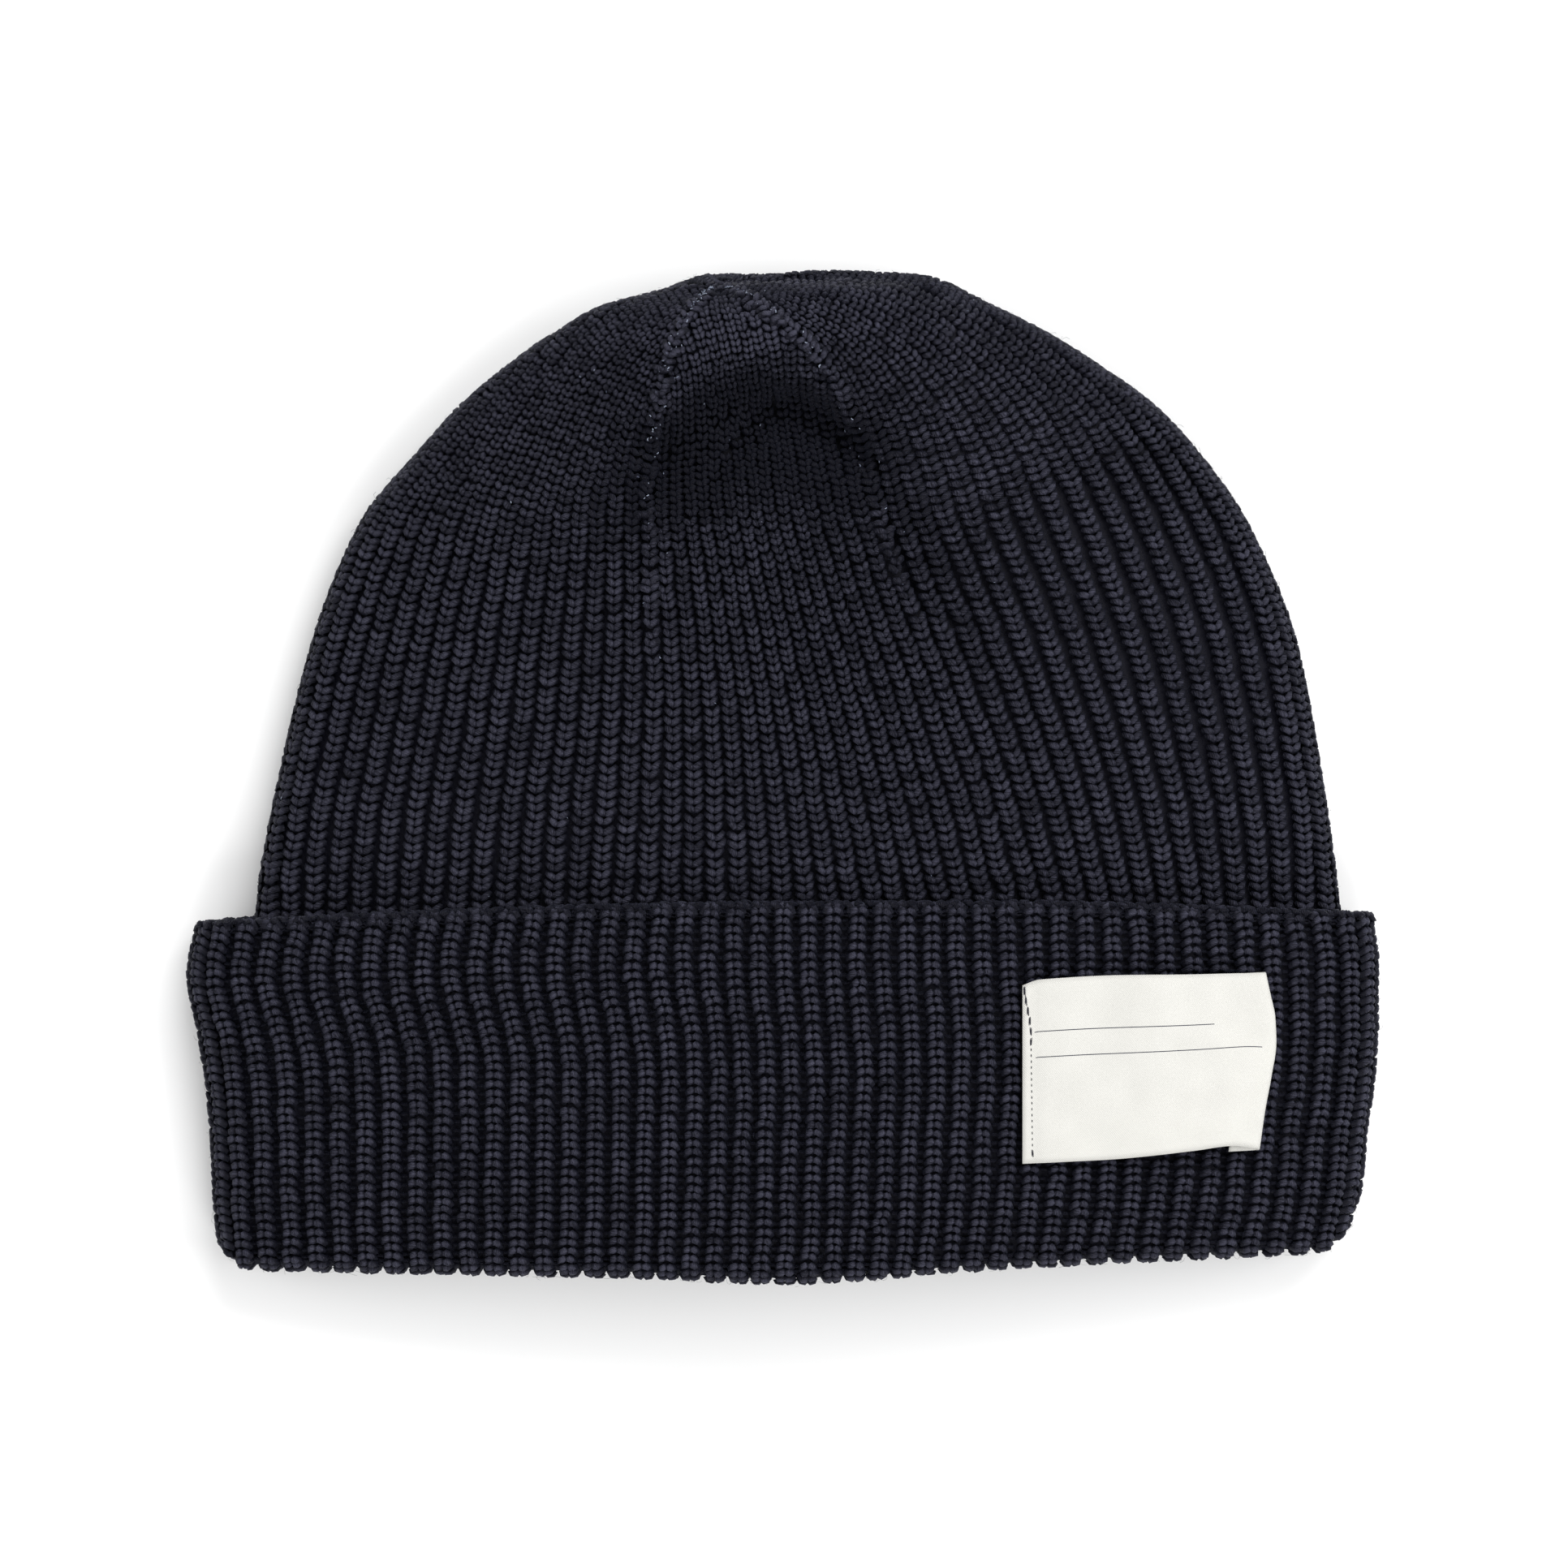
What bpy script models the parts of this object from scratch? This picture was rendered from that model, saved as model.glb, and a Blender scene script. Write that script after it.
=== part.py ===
"""A rib-knit watch cap with a deep turned-up cuff, lying flat on its back.

X runs across the cap, +Y from the hem to the tip of the crown and +Z up from
the surface that it lies on. The origin is on that surface, under the middle
of the whole cap. Lengths are in metres.

The cap is one knitted piece: the tube is folded outwards at the hem and comes
back up outside itself as the cuff, so crown, cuff and hem are one solid wall
that is followed here ring by ring. The tape label is a solid of its own.
"""
from collections import namedtuple
from math import cos, pi, radians, sin

import bmesh
import bpy
import numpy as np

# Plan sizes
CUFF_WIDTH = 0.2364          # across the cuff, side fold to side fold
CUFF_HEIGHT = 0.0755         # hem to the cuff's free edge, at the middle
CROWN_LENGTH = 0.1247        # cuff's free edge to the top of the crown
CROWN_STEP = 0.0105          # how far each side of the crown lies inside the cuff's
CROWN_SHIFT = 0.0030         # the crown lies this much to the right of the cuff's middle

# Thicknesses
WALL = 0.0032                # knitted wall
LAYER_GAP = 0.0010           # air between the cuff and the wall behind it
CUFF_HOLLOW = 0.0180         # height of the head space under the cuff, at the middle
SIDE_HOLLOW = 0.0022         # height of the head space at the cuff's side folds
CROWN_HOLLOW = 0.0236        # height of the head space under the crown, at the middle

# Knitting
GORES = 6                    # wedges that the crown is drawn in by
RIBS_PER_GORE = 16
CUFF_RIB_DEPTH = 0.0011
CROWN_RIB_DEPTH = 0.0008
SEAM_DEPTH = 0.0009          # groove where two gores meet
DENT_DEPTH = 0.0062          # deepest dent in the front of the crown

# Label
LABEL_LENGTH = 0.0490        # sewn end to the fold, as seen
LABEL_WIDTH = 0.0350
LABEL_THICK = 0.0010
LABEL_TURN_UNDER = 0.0120    # length folded back underneath
LABEL_AIR = 0.0008           # between the label and its turned-under end
LABEL_CLEARANCE = 0.0003     # between the label and the cuff's ribs

RIBS = GORES * RIBS_PER_GORE
COLUMNS = 2 * RIBS           # one at each rib's crest and one in each valley
HALF_TURN = COLUMNS // 2     # column at the right side fold, column 0 is at the left
CUFF_LAYERS = WALL + LAYER_GAP
HEM_RADIUS = WALL + LAYER_GAP / 2
CUFF_SIDE = 4 * WALL + 2 * LAYER_GAP + SIDE_HOLLOW
CUFF_TOP = 4 * WALL + 2 * LAYER_GAP + CUFF_HOLLOW
CROWN_TOP = 2 * WALL + CROWN_HOLLOW
HALF_CUFF = CUFF_WIDTH / 2
HALF_CROWN = HALF_CUFF - CROWN_STEP

# Where the gore seams that show on the front lie, in ribs from the left side
# fold, and as shares of the way over the front to the right one
SEAM_FROM_FOLD = 17
LEFT_SEAM = SEAM_FROM_FOLD / (RIBS / 2)
RIGHT_SEAM = (SEAM_FROM_FOLD + RIBS_PER_GORE) / (RIBS / 2)

# How far the cuff's hem and its free edge bow up from their middle, as shares
# of CUFF_HEIGHT, over the front and on the back layer
Bow = namedtuple("Bow", "left left_seam right_seam right back_left back_right")
HEM_BOW = Bow(0.034, 0.017, 0.038, 0.082, 0.034, 0.084)
EDGE_BOW = Bow(-0.058, -0.008, 0.000, -0.034, -0.030, -0.030)

# Cuff, hem to free edge. Up is a share of CUFF_HEIGHT, edges are shares of
# HALF_CUFF, side is a share of CUFF_SIDE and top of CUFF_TOP.
CuffRow = namedtuple("CuffRow", "up left_edge right_edge side top")
CUFF_ROWS = (
    CuffRow(0.049, -0.950, 0.957, 0.97, 0.93),
    CuffRow(0.180, -0.955, 0.972, 1.00, 0.97),
    CuffRow(0.360, -0.960, 0.982, 1.00, 1.00),
    CuffRow(0.540, -0.969, 0.996, 1.00, 1.00),
    CuffRow(0.700, -0.984, 1.000, 1.00, 1.00),
    CuffRow(0.850, -1.000, 1.000, 1.00, 1.00),
    CuffRow(0.978, -0.987, 0.992, 1.00, 1.00),
)

# Crown, cuff edge to tip. Rises are shares of CROWN_LENGTH above the cuff's
# edge, edges and seams are shares of HALF_CROWN, heights are shares of
# CROWN_TOP, and held says how far the cuff still holds the section down.
CrownRow = namedtuple(
    "CrownRow", "front left_rise right_rise back_rise left_edge left_seam right_seam right_edge "
    "bottom side top held")
CROWN_ROWS = (
    CrownRow(0.000, 0.000, 0.000, 0.000, -1.000, -0.276, 0.386, 1.000, 0.00, 0.47, 0.96, 1.0),
    CrownRow(0.062, 0.062, 0.062, 0.062, -0.990, -0.273, 0.368, 0.991, 0.00, 0.47, 0.99, 0.5),
    CrownRow(0.166, 0.166, 0.166, 0.166, -0.964, -0.269, 0.335, 0.973, 0.00, 0.47, 1.01, 0.0),
    CrownRow(0.295, 0.295, 0.295, 0.295, -0.931, -0.264, 0.284, 0.948, 0.00, 0.47, 1.02, 0.0),
    CrownRow(0.424, 0.424, 0.424, 0.424, -0.891, -0.266, 0.228, 0.916, 0.00, 0.47, 1.01, 0.0),
    CrownRow(0.528, 0.528, 0.528, 0.528, -0.847, -0.270, 0.182, 0.871, 0.00, 0.47, 0.99, 0.0),
    CrownRow(0.618, 0.618, 0.618, 0.618, -0.795, -0.275, 0.146, 0.819, 0.00, 0.47, 0.96, 0.0),
    CrownRow(0.709, 0.709, 0.709, 0.709, -0.706, -0.269, 0.121, 0.744, 0.00, 0.47, 0.93, 0.0),
    CrownRow(0.787, 0.787, 0.787, 0.787, -0.624, -0.255, 0.089, 0.661, 0.00, 0.47, 0.91, 0.0),
    CrownRow(0.851, 0.851, 0.851, 0.851, -0.537, -0.237, 0.049, 0.558, 0.00, 0.48, 0.90, 0.0),
    CrownRow(0.899, 0.900, 0.900, 0.903, -0.455, -0.216, -0.004, 0.468, 0.01, 0.50, 0.89, 0.0),
    CrownRow(0.938, 0.944, 0.944, 0.950, -0.366, -0.190, -0.064, 0.365, 0.05, 0.50, 0.87, 0.0),
    CrownRow(0.958, 0.970, 0.995, 0.982, -0.251, -0.166, -0.101, 0.221, 0.16, 0.42, 0.81, 0.0),
    CrownRow(0.966, 0.984, 1.000, 0.996, -0.196, -0.154, -0.125, 0.056, 0.34, 0.22, 0.72, 0.0),
    CrownRow(0.969, 0.981, 0.992, 0.988, -0.169, -0.148, -0.136, -0.049, 0.47, 0.14, 0.68, 0.0),
)
Tip = namedtuple("Tip", "edge rise height")
TIP = Tip(-0.142, 0.975, 0.61)
TIP_FACING = radians(45)     # the tip looks this far up from +Y
TIP_WALL = 1.6 * WALL        # where the gathered seams meet, the wall is this thick

# Dents and swellings of the front. Places and reaches are shares: across of
# HALF_CUFF, along of the cap's whole length, depth of DENT_DEPTH.
Dent = namedtuple("Dent", "across along reach_across reach_along depth")
DENTS = (
    Dent(-0.050, 0.838, 0.200, 0.045, 0.72),    # hollow below the tip, between the seams
    Dent(-0.190, 0.822, 0.060, 0.040, 0.55),    # its left corner
    Dent(0.090, 0.836, 0.070, 0.036, 0.45),     # its right corner
    Dent(-0.090, 0.945, 0.140, 0.026, -0.35),   # puffed ridge over it
    Dent(-0.610, 0.282, 0.330, 0.036, 0.26),    # bend across the left of the cuff
    Dent(0.250, 0.700, 0.300, 0.060, 0.10),     # slack right of the front seams
)

FRONT_EDGE = 4               # how sharply the front's dents end towards the side folds

# Columns that a ring takes: crests and valleys where they show, crests alone in
# the slot behind the cuff, and fewer still inside, closest at the side folds
SHOWN = list(range(HALF_TURN + 1)) + list(range(HALF_TURN + 2, COLUMNS, 2))
HIDDEN = list(range(0, COLUMNS, 2))
FOLD_REACH = 12
INSIDE = [c for c in range(0, COLUMNS, 2)
          if c % 6 == 0 or min(c % HALF_TURN, HALF_TURN - c % HALF_TURN) <= FOLD_REACH]
NEAR_TIP = list(range(0, COLUMNS, 4))
AT_TIP = list(range(0, COLUMNS, 8))

# Behind the cuff the wall goes from the cuff's shape to the crown's, later the higher this is
CROWN_TAKES_OVER = 1.3

# Where rings are made, as places between the rows of CROWN_ROWS
CROWN_RINGS = [0, 1, 2, 3, 4, 5, 6] + [6.5 + k / 2 for k in range(12)] + [13, 14]
LEVEL_INNER_RING = 8         # from here up each ring inside lies in one plane
LAST_INNER_RING = 10         # the wall's inside closes below the last crown rows


def crown_columns(place):
    """Fewer columns run on as the crown narrows to its tip."""
    if place <= 10:
        return SHOWN
    if place < 12:
        return HIDDEN
    return NEAR_TIP if place < 13 else AT_TIP


def smooth_step(low, high, value):
    t = np.clip((value - low) / (high - low), 0, 1)
    return t * t * (3 - 2 * t)


def smooth_curve(keys, values, at):
    """Smooth curve through a few points that never overshoots them."""
    keys = np.asarray(keys, float)
    values = np.asarray(values, float)
    run = np.diff(keys)
    slope = np.diff(values) / run
    bend = np.zeros(len(keys))
    for k in range(1, len(keys) - 1):
        if slope[k - 1] * slope[k] > 0:
            bend[k] = 2 * slope[k - 1] * slope[k] / (slope[k - 1] + slope[k])
    bend[0] = slope[0]
    bend[-1] = slope[-1]
    span = np.clip(np.searchsorted(keys, at, side="right") - 1, 0, len(run) - 1)
    t = (at - keys[span]) / run[span]
    step = (values[span + 1] - values[span]) * t * t * (3 - 2 * t)
    leaving = run[span] * bend[span] * t * (1 - t) ** 2
    arriving = run[span] * bend[span + 1] * t * t * (1 - t)
    return values[span] + step + leaving - arriving


Section = namedtuple(
    "Section", "y_left y_left_seam y_middle y_right_seam y_right y_back_left y_back_right "
    "x_left x_left_seam x_right_seam x_right bottom side top")


def cuff_bow(up):
    """Bow of a line round the cuff, in metres, from the hem's to the free edge's."""
    return [(low + (high - low) * up) * CUFF_HEIGHT for low, high in zip(HEM_BOW, EDGE_BOW)]


def cuff_section(row):
    x_left = row.left_edge * HALF_CUFF
    x_right = row.right_edge * HALF_CUFF
    middle = row.up * CUFF_HEIGHT
    left, left_seam, right_seam, right, back_left, back_right = [middle + bow for bow in cuff_bow(row.up)]
    return Section(
        left, left_seam, middle, right_seam, right, back_left, back_right,
        x_left, x_left + (x_right - x_left) * LEFT_SEAM, x_left + (x_right - x_left) * RIGHT_SEAM, x_right,
        0.0, row.side * CUFF_SIDE, row.top * CUFF_TOP)


def crown_row(place):
    """Row of the crown's table at any place between its rows."""
    table = np.array(CROWN_ROWS)
    index = np.arange(len(CROWN_ROWS))
    at = np.array([place], float)
    return CrownRow(*[float(smooth_curve(index, table[:, k], at)[0]) for k in range(table.shape[1])])


def crown_section(row):
    """Section of the crown, which starts inside the cuff and then lies free."""
    left, left_seam, right_seam, right, back_left, back_right = [row.held * bow for bow in cuff_bow(1)]

    def up(share, bow):
        return CUFF_HEIGHT + share * CROWN_LENGTH + bow

    def across(share):
        return CROWN_SHIFT + share * HALF_CROWN

    def height(free, held):
        return free + (held - free) * row.held

    return Section(
        up(row.left_rise, left), up(row.front, left_seam), up(row.front, 0.0), up(row.front, right_seam),
        up(row.right_rise, right), up(row.back_rise, back_left), up(row.back_rise, back_right),
        across(row.left_edge), across(row.left_seam), across(row.right_seam), across(row.right_edge),
        height(row.bottom * CROWN_TOP, CUFF_LAYERS),
        height(row.side * CROWN_TOP, CUFF_SIDE - 2 * CUFF_LAYERS),
        height(row.top * CROWN_TOP, CUFF_TOP - CUFF_LAYERS))


def half_loop(s, way, turn_end, seams):
    """Front or back of a section: across and up, for each share of the way from left fold to right.

    The side folds are arcs that turn by turn_end. The front's dome or the flat
    back runs on from them without a kink.
    """
    radius = s.side / 2
    arc = radius * turn_end
    inset = radius * (1 - cos(turn_end))
    fold = arc / (s.x_right - s.x_left - 2 * inset + 2 * arc)
    keys = (fold, *[way_along for way_along, place in seams], 1 - fold)
    places = (s.x_left + inset, *[place for way_along, place in seams], s.x_right - inset)
    turn = np.clip(np.minimum(way, 1 - way) / fold, 0, 1) * turn_end
    x = smooth_curve(keys, places, way)
    x = np.where(way < fold, s.x_left + radius * (1 - np.cos(turn)), x)
    x = np.where(way > 1 - fold, s.x_right - radius * (1 - np.cos(turn)), x)
    middle = (s.x_left + s.x_right) / 2
    out = np.clip((x - middle) / ((s.x_right - s.x_left) / 2 - inset), -1, 1)
    return x, radius * np.sin(turn), out


def section_loop(s):
    """One closed loop: over the front from left to right, then back underneath."""
    column = np.arange(COLUMNS)
    front = column <= HALF_TURN
    way = np.where(front, column, COLUMNS - column) / HALF_TURN
    radius = s.side / 2
    half = (s.x_right - s.x_left) / 2 - radius
    shoulder = s.bottom + s.side
    slope = np.arctan(2 * (s.top - shoulder) / half)
    shoulder = s.bottom + radius * (1 + cos(slope))
    seams = ((LEFT_SEAM, s.x_left_seam), (RIGHT_SEAM, s.x_right_seam))
    x_front, lift, out = half_loop(s, way, pi / 2 - slope, seams)
    z_front = s.bottom + radius + lift + (s.top - shoulder) * (1 - out * out)
    x_back, drop, out = half_loop(s, way, pi / 2, ())
    z_back = s.bottom + radius - drop
    y_front = smooth_curve(
        (0, LEFT_SEAM, 0.5, RIGHT_SEAM, 1),
        (s.y_left, s.y_left_seam, s.y_middle, s.y_right_seam, s.y_right), way)
    y_back = smooth_curve((0, 0.2, 0.8, 1), (s.y_left, s.y_back_left, s.y_back_right, s.y_right), way)
    return np.where(front, [x_front, y_front, z_front], [x_back, y_back, z_back]).T


def outward(grid):
    """Outward normal at each point of a grid of rings."""
    around = np.roll(grid, -1, axis=1) - np.roll(grid, 1, axis=1)
    along = np.gradient(grid, axis=0)
    normal = np.cross(around, along)
    return normal / np.linalg.norm(normal, axis=2, keepdims=True)


def on_front():
    """How far each column belongs to the front: 1 over the front, 0 at the folds and beneath."""
    return np.clip(FRONT_EDGE * np.sin(2 * pi * np.arange(COLUMNS) / COLUMNS), 0, 1)


def rib_relief(depth, upright):
    """Depth of the valleys between the ribs, gone where the wall is pressed on its underside."""
    valley = (np.arange(COLUMNS) % 2 == 1).astype(float)
    return depth * valley * upright


def upright_share():
    """1 over the front and the side folds' crests, falling to 0 towards the underside."""
    column = np.arange(COLUMNS)
    return np.where(column <= HALF_TURN, 1.0, 0.0)


def crown_rib_depth(row):
    """Ribs run out into plain knitting up the crown, later towards the side folds."""
    way = np.minimum(np.arange(COLUMNS), COLUMNS - np.arange(COLUMNS)) / HALF_TURN
    sideness = (2 * way - 1) ** 2
    fade = 1 - smooth_step(0.40 + 0.30 * sideness, 0.62 + 0.33 * sideness, row.front)
    return CROWN_RIB_DEPTH * fade


def seam_relief(row):
    """Groove along each gore's seam, from where the gathering starts up to the tip."""
    groove = np.zeros(COLUMNS)
    for gore in range(GORES):
        seam = 2 * (SEAM_FROM_FOLD + gore * RIBS_PER_GORE) % COLUMNS
        groove[seam] = 1
        groove[(seam + 1) % COLUMNS] = groove[seam - 1] = 0.4
    return SEAM_DEPTH * groove * smooth_step(0.56, 0.68, row.front)


def settle(points, front):
    """Push the front's dents into a ring of any layer."""
    length = CUFF_HEIGHT + CROWN_LENGTH
    for dent in DENTS:
        across = (points[:, 0] - dent.across * HALF_CUFF) / (dent.reach_across * HALF_CUFF)
        along = (points[:, 1] - dent.along * length) / (dent.reach_along * length)
        points[:, 2] -= DENT_DEPTH * dent.depth * front * np.exp(-across ** 2 - along ** 2)
    return points


def cap_rings():
    """Every ring of the wall as (columns, points), from the crown's tip round to its inside."""
    front = on_front()
    upright = upright_share()
    cuff = np.array([section_loop(cuff_section(row)) for row in CUFF_ROWS])
    crown_rows = [crown_row(place) for place in CROWN_RINGS]
    crown = np.array([section_loop(crown_section(row)) for row in crown_rows])
    cuff_out = outward(cuff)
    crown_out = outward(crown)
    base = crown[0]

    # Wall behind the cuff, from the cuff's own shape at the hem to the crown's at its edge
    behind = []
    for k in range(len(CUFF_ROWS) - 1):
        inset = cuff[k] - CUFF_LAYERS * cuff_out[k]
        freed = base.copy()
        freed[:, 1] = inset[:, 1]
        share = (CUFF_ROWS[k].up - CUFF_ROWS[0].up) / (CUFF_ROWS[-1].up - CUFF_ROWS[0].up)
        behind.append(inset + (freed - inset) * share ** CROWN_TAKES_OVER)
    body = np.concatenate([np.array(behind), crown])
    body_out = outward(body)
    body_out[0] = cuff_out[0]
    first_crown = len(behind)
    rings = []

    def ring(columns, points):
        rings.append((columns, settle(points.copy(), front)[columns]))

    for k in reversed(range(len(CROWN_RINGS))):
        row = crown_rows[k]
        relief = rib_relief(crown_rib_depth(row), upright) + seam_relief(row) * upright
        ring(crown_columns(CROWN_RINGS[k]), crown[k] - relief[:, None] * crown_out[k])
    for k in (4, 2, 0):
        ring(HIDDEN, behind[k])
    slot = cuff[0] - HEM_RADIUS * cuff_out[0]
    slot[:, 1] -= HEM_RADIUS - WALL
    ring(HIDDEN, slot)
    for k in (0, 2, 4, 6):
        ring(HIDDEN, cuff[k] - WALL * cuff_out[k])

    # Free edge of the cuff, then its outside, then the hem's fold
    relief = rib_relief(CUFF_RIB_DEPTH, upright)[:, None]
    for angle in (radians(120), radians(60)):
        edge = cuff[-1] - (WALL / 2 * (1 - cos(angle)) + relief * cos(angle / 2)) * cuff_out[-1]
        edge[:, 1] += WALL / 2 * sin(angle)
        ring(SHOWN, edge)
    for k in reversed(range(len(CUFF_ROWS))):
        ring(SHOWN, cuff[k] - relief * cuff_out[k])
    for angle in (radians(45), radians(90), radians(135)):
        inward = HEM_RADIUS * (1 - cos(angle)) + relief * cos(angle / 2)
        hem = cuff[0] - inward * cuff_out[0]
        hem[:, 1] -= (HEM_RADIUS - relief[:, 0] * sin(angle) / 2) * sin(angle)
        ring(SHOWN, hem)

    # Inside of the wall, hem to tip
    ring(INSIDE, cuff[0] - 2 * HEM_RADIUS * cuff_out[0])
    for k in (2, 4):
        ring(INSIDE, body[k] - WALL * body_out[k])
    for k, place in enumerate(CROWN_RINGS):
        if place == int(place) and place <= LAST_INNER_RING:
            inner = body[first_crown + k] - WALL * body_out[first_crown + k]
            if place >= LEVEL_INNER_RING:
                folds = inner[[0, HALF_TURN]]
                inner[:, 1] = np.interp(inner[:, 0], folds[:, 0], folds[:, 1])
            ring(INSIDE, inner)
    return rings


def tip_points():
    """Tip of the crown, on the outside and on the inside of the wall."""
    outer = np.array([
        CROWN_SHIFT + TIP.edge * HALF_CROWN, CUFF_HEIGHT + TIP.rise * CROWN_LENGTH, TIP.height * CROWN_TOP])
    facing = np.array([0.0, cos(TIP_FACING), sin(TIP_FACING)])
    return outer, outer - TIP_WALL * facing


def band(bm, upper, lower):
    """Triangles between two closed rings, paced by their columns."""
    upper_columns, upper_verts = upper
    lower_columns, lower_verts = lower
    upper_stops = upper_columns[1:] + [COLUMNS]
    lower_stops = lower_columns[1:] + [COLUMNS]
    u = 0
    v = 0
    while u < len(upper_stops) or v < len(lower_stops):
        here_u = upper_verts[u % len(upper_verts)]
        here_v = lower_verts[v % len(lower_verts)]
        u_first = v == len(lower_stops) or (u < len(upper_stops) and upper_stops[u] <= lower_stops[v])
        if u_first:
            u += 1
            bm.faces.new((here_u, here_v, upper_verts[u % len(upper_verts)]))
        else:
            v += 1
            bm.faces.new((here_u, here_v, lower_verts[v % len(lower_verts)]))


def plain_material(name, colour, roughness):
    material = bpy.data.materials.new(name)
    material.use_nodes = True
    shader = material.node_tree.nodes["Principled BSDF"]
    shader.inputs["Base Color"].default_value = (*colour, 1.0)
    shader.inputs["Roughness"].default_value = roughness
    shader.inputs["Metallic"].default_value = 0.0
    return material


def add_object(name, bm, material):
    bmesh.ops.recalc_face_normals(bm, faces=bm.faces)
    mesh = bpy.data.meshes.new(name)
    bm.to_mesh(mesh)
    bm.free()
    mesh.shade_smooth()
    mesh.set_sharp_from_angle(angle=radians(50))
    mesh.materials.append(material)
    thing = bpy.data.objects.new(name, mesh)
    bpy.context.scene.collection.objects.link(thing)
    return thing


def knit_cap(rings, shift):
    """Crown, cuff and hem as one closed wall."""
    bm = bmesh.new()
    tip, tip_inside = tip_points()
    outer_tip = bm.verts.new(tip - shift)
    inner_tip = bm.verts.new(tip_inside - shift)
    placed = [(columns, [bm.verts.new(p - shift) for p in points]) for columns, points in rings]
    for upper, lower in zip(placed, placed[1:]):
        band(bm, upper, lower)
    for tip_vert, (columns, verts) in ((outer_tip, placed[0]), (inner_tip, placed[-1])):
        for a, b in zip(verts, verts[1:] + verts[:1]):
            bm.faces.new((a, b, tip_vert))
    return add_object("knit_cap", bm, plain_material("navy_wool_knit", (0.012, 0.014, 0.024), 0.95))


def cuff_height(x, y):
    """Height of the cuff's crests over a place in plan."""
    front = on_front()
    rows = [settle(section_loop(cuff_section(row)), front)[:HALF_TURN + 1] for row in CUFF_ROWS]
    y_rows = [np.interp(x, r[:, 0], r[:, 1]) for r in rows]
    z_rows = [np.interp(x, r[:, 0], r[:, 2]) for r in rows]
    return float(np.interp(y, y_rows, z_rows))


# Label's place on the cuff: shares of HALF_CUFF and of CUFF_HEIGHT
LABEL_LEFT = 0.405           # sewn end
LABEL_MIDDLE = 0.549         # half-way up the sewn end
LABEL_SLANT = radians(2.5)   # its far end is turned up by this much
LABEL_FLAT_END = 0.2         # share of its length that lies level before the turned-under end
LABEL_STATIONS = 5           # across its width
LABEL_STEPS = 10             # along its top


def label_path():
    """Middle line of the tape as (along, height over the cuff), sewn end to the end turned under."""
    low = LABEL_CLEARANCE + LABEL_THICK / 2
    high = low + LABEL_THICK + LABEL_AIR
    bend = (high - low) / 2
    reach = LABEL_LENGTH - bend - LABEL_THICK / 2
    rising = reach - LABEL_TURN_UNDER - LABEL_FLAT_END * LABEL_LENGTH
    path = []
    for k in range(LABEL_STEPS + 1):
        along = reach * k / LABEL_STEPS
        path.append((along, low + (high - low) * float(smooth_step(0, rising, along))))
    for k in range(1, 6):
        angle = pi / 2 - pi * k / 6
        path.append((reach + bend * cos(angle), (low + high) / 2 + bend * sin(angle)))
    path += [(reach - LABEL_TURN_UNDER * k / 3, low) for k in range(4)]
    return path


def label_strip(shift):
    """Woven tape, sewn down at its left end, with its right end turned under."""
    path = np.array(label_path())
    ahead = np.gradient(path, axis=0)
    ahead /= np.linalg.norm(ahead, axis=1, keepdims=True)
    side = np.stack([-ahead[:, 1], ahead[:, 0]], axis=1) * LABEL_THICK / 2
    outline = np.concatenate([path + side, (path - side)[::-1]])
    bm = bmesh.new()
    loops = []
    for k in range(LABEL_STATIONS):
        up = LABEL_WIDTH * (k / (LABEL_STATIONS - 1) - 0.5)
        loop = []
        for along, height in outline:
            x = LABEL_LEFT * HALF_CUFF + along * cos(LABEL_SLANT)
            y = LABEL_MIDDLE * CUFF_HEIGHT + up + along * sin(LABEL_SLANT)
            loop.append(bm.verts.new(np.array([x, y, cuff_height(x, y) + height]) - shift))
        loops.append(loop)
    for near, far in zip(loops, loops[1:]):
        for a, b, c, d in zip(near, near[1:] + near[:1], far[1:] + far[:1], far):
            bm.faces.new((a, b, c))
            bm.faces.new((a, c, d))
    last = len(outline) - 1
    for loop in (loops[0], loops[-1]):
        for k in range(len(path) - 1):
            bm.faces.new((loop[k], loop[k + 1], loop[last - k - 1]))
            bm.faces.new((loop[k], loop[last - k - 1], loop[last - k]))
    return add_object("label", bm, plain_material("cotton_tape", (0.90, 0.88, 0.80), 0.8))


def build():
    for old in list(bpy.data.objects):
        bpy.data.objects.remove(old, do_unlink=True)
    rings = cap_rings()
    points = np.concatenate([points for columns, points in rings])
    middle = (points.min(axis=0) + points.max(axis=0)) / 2
    shift = np.array([middle[0], middle[1], 0.0])
    knit_cap(rings, shift)
    label_strip(shift)


build()
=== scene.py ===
"""A navy rib-knit watch cap lying on its back, with its stitches, its fluff and its tape label.

X runs across the cap, +Y from the hem to the tip of the crown and +Z up from the
surface that it lies on. Lengths are in metres. The cap is one knitted tube: the
surfaces below follow its wall, the stitches are laid along the wall's columns, and
Geometry Nodes turn each place into a looped pair of yarn legs.
"""

from collections import namedtuple
from math import cos, pi, radians, sin

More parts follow.
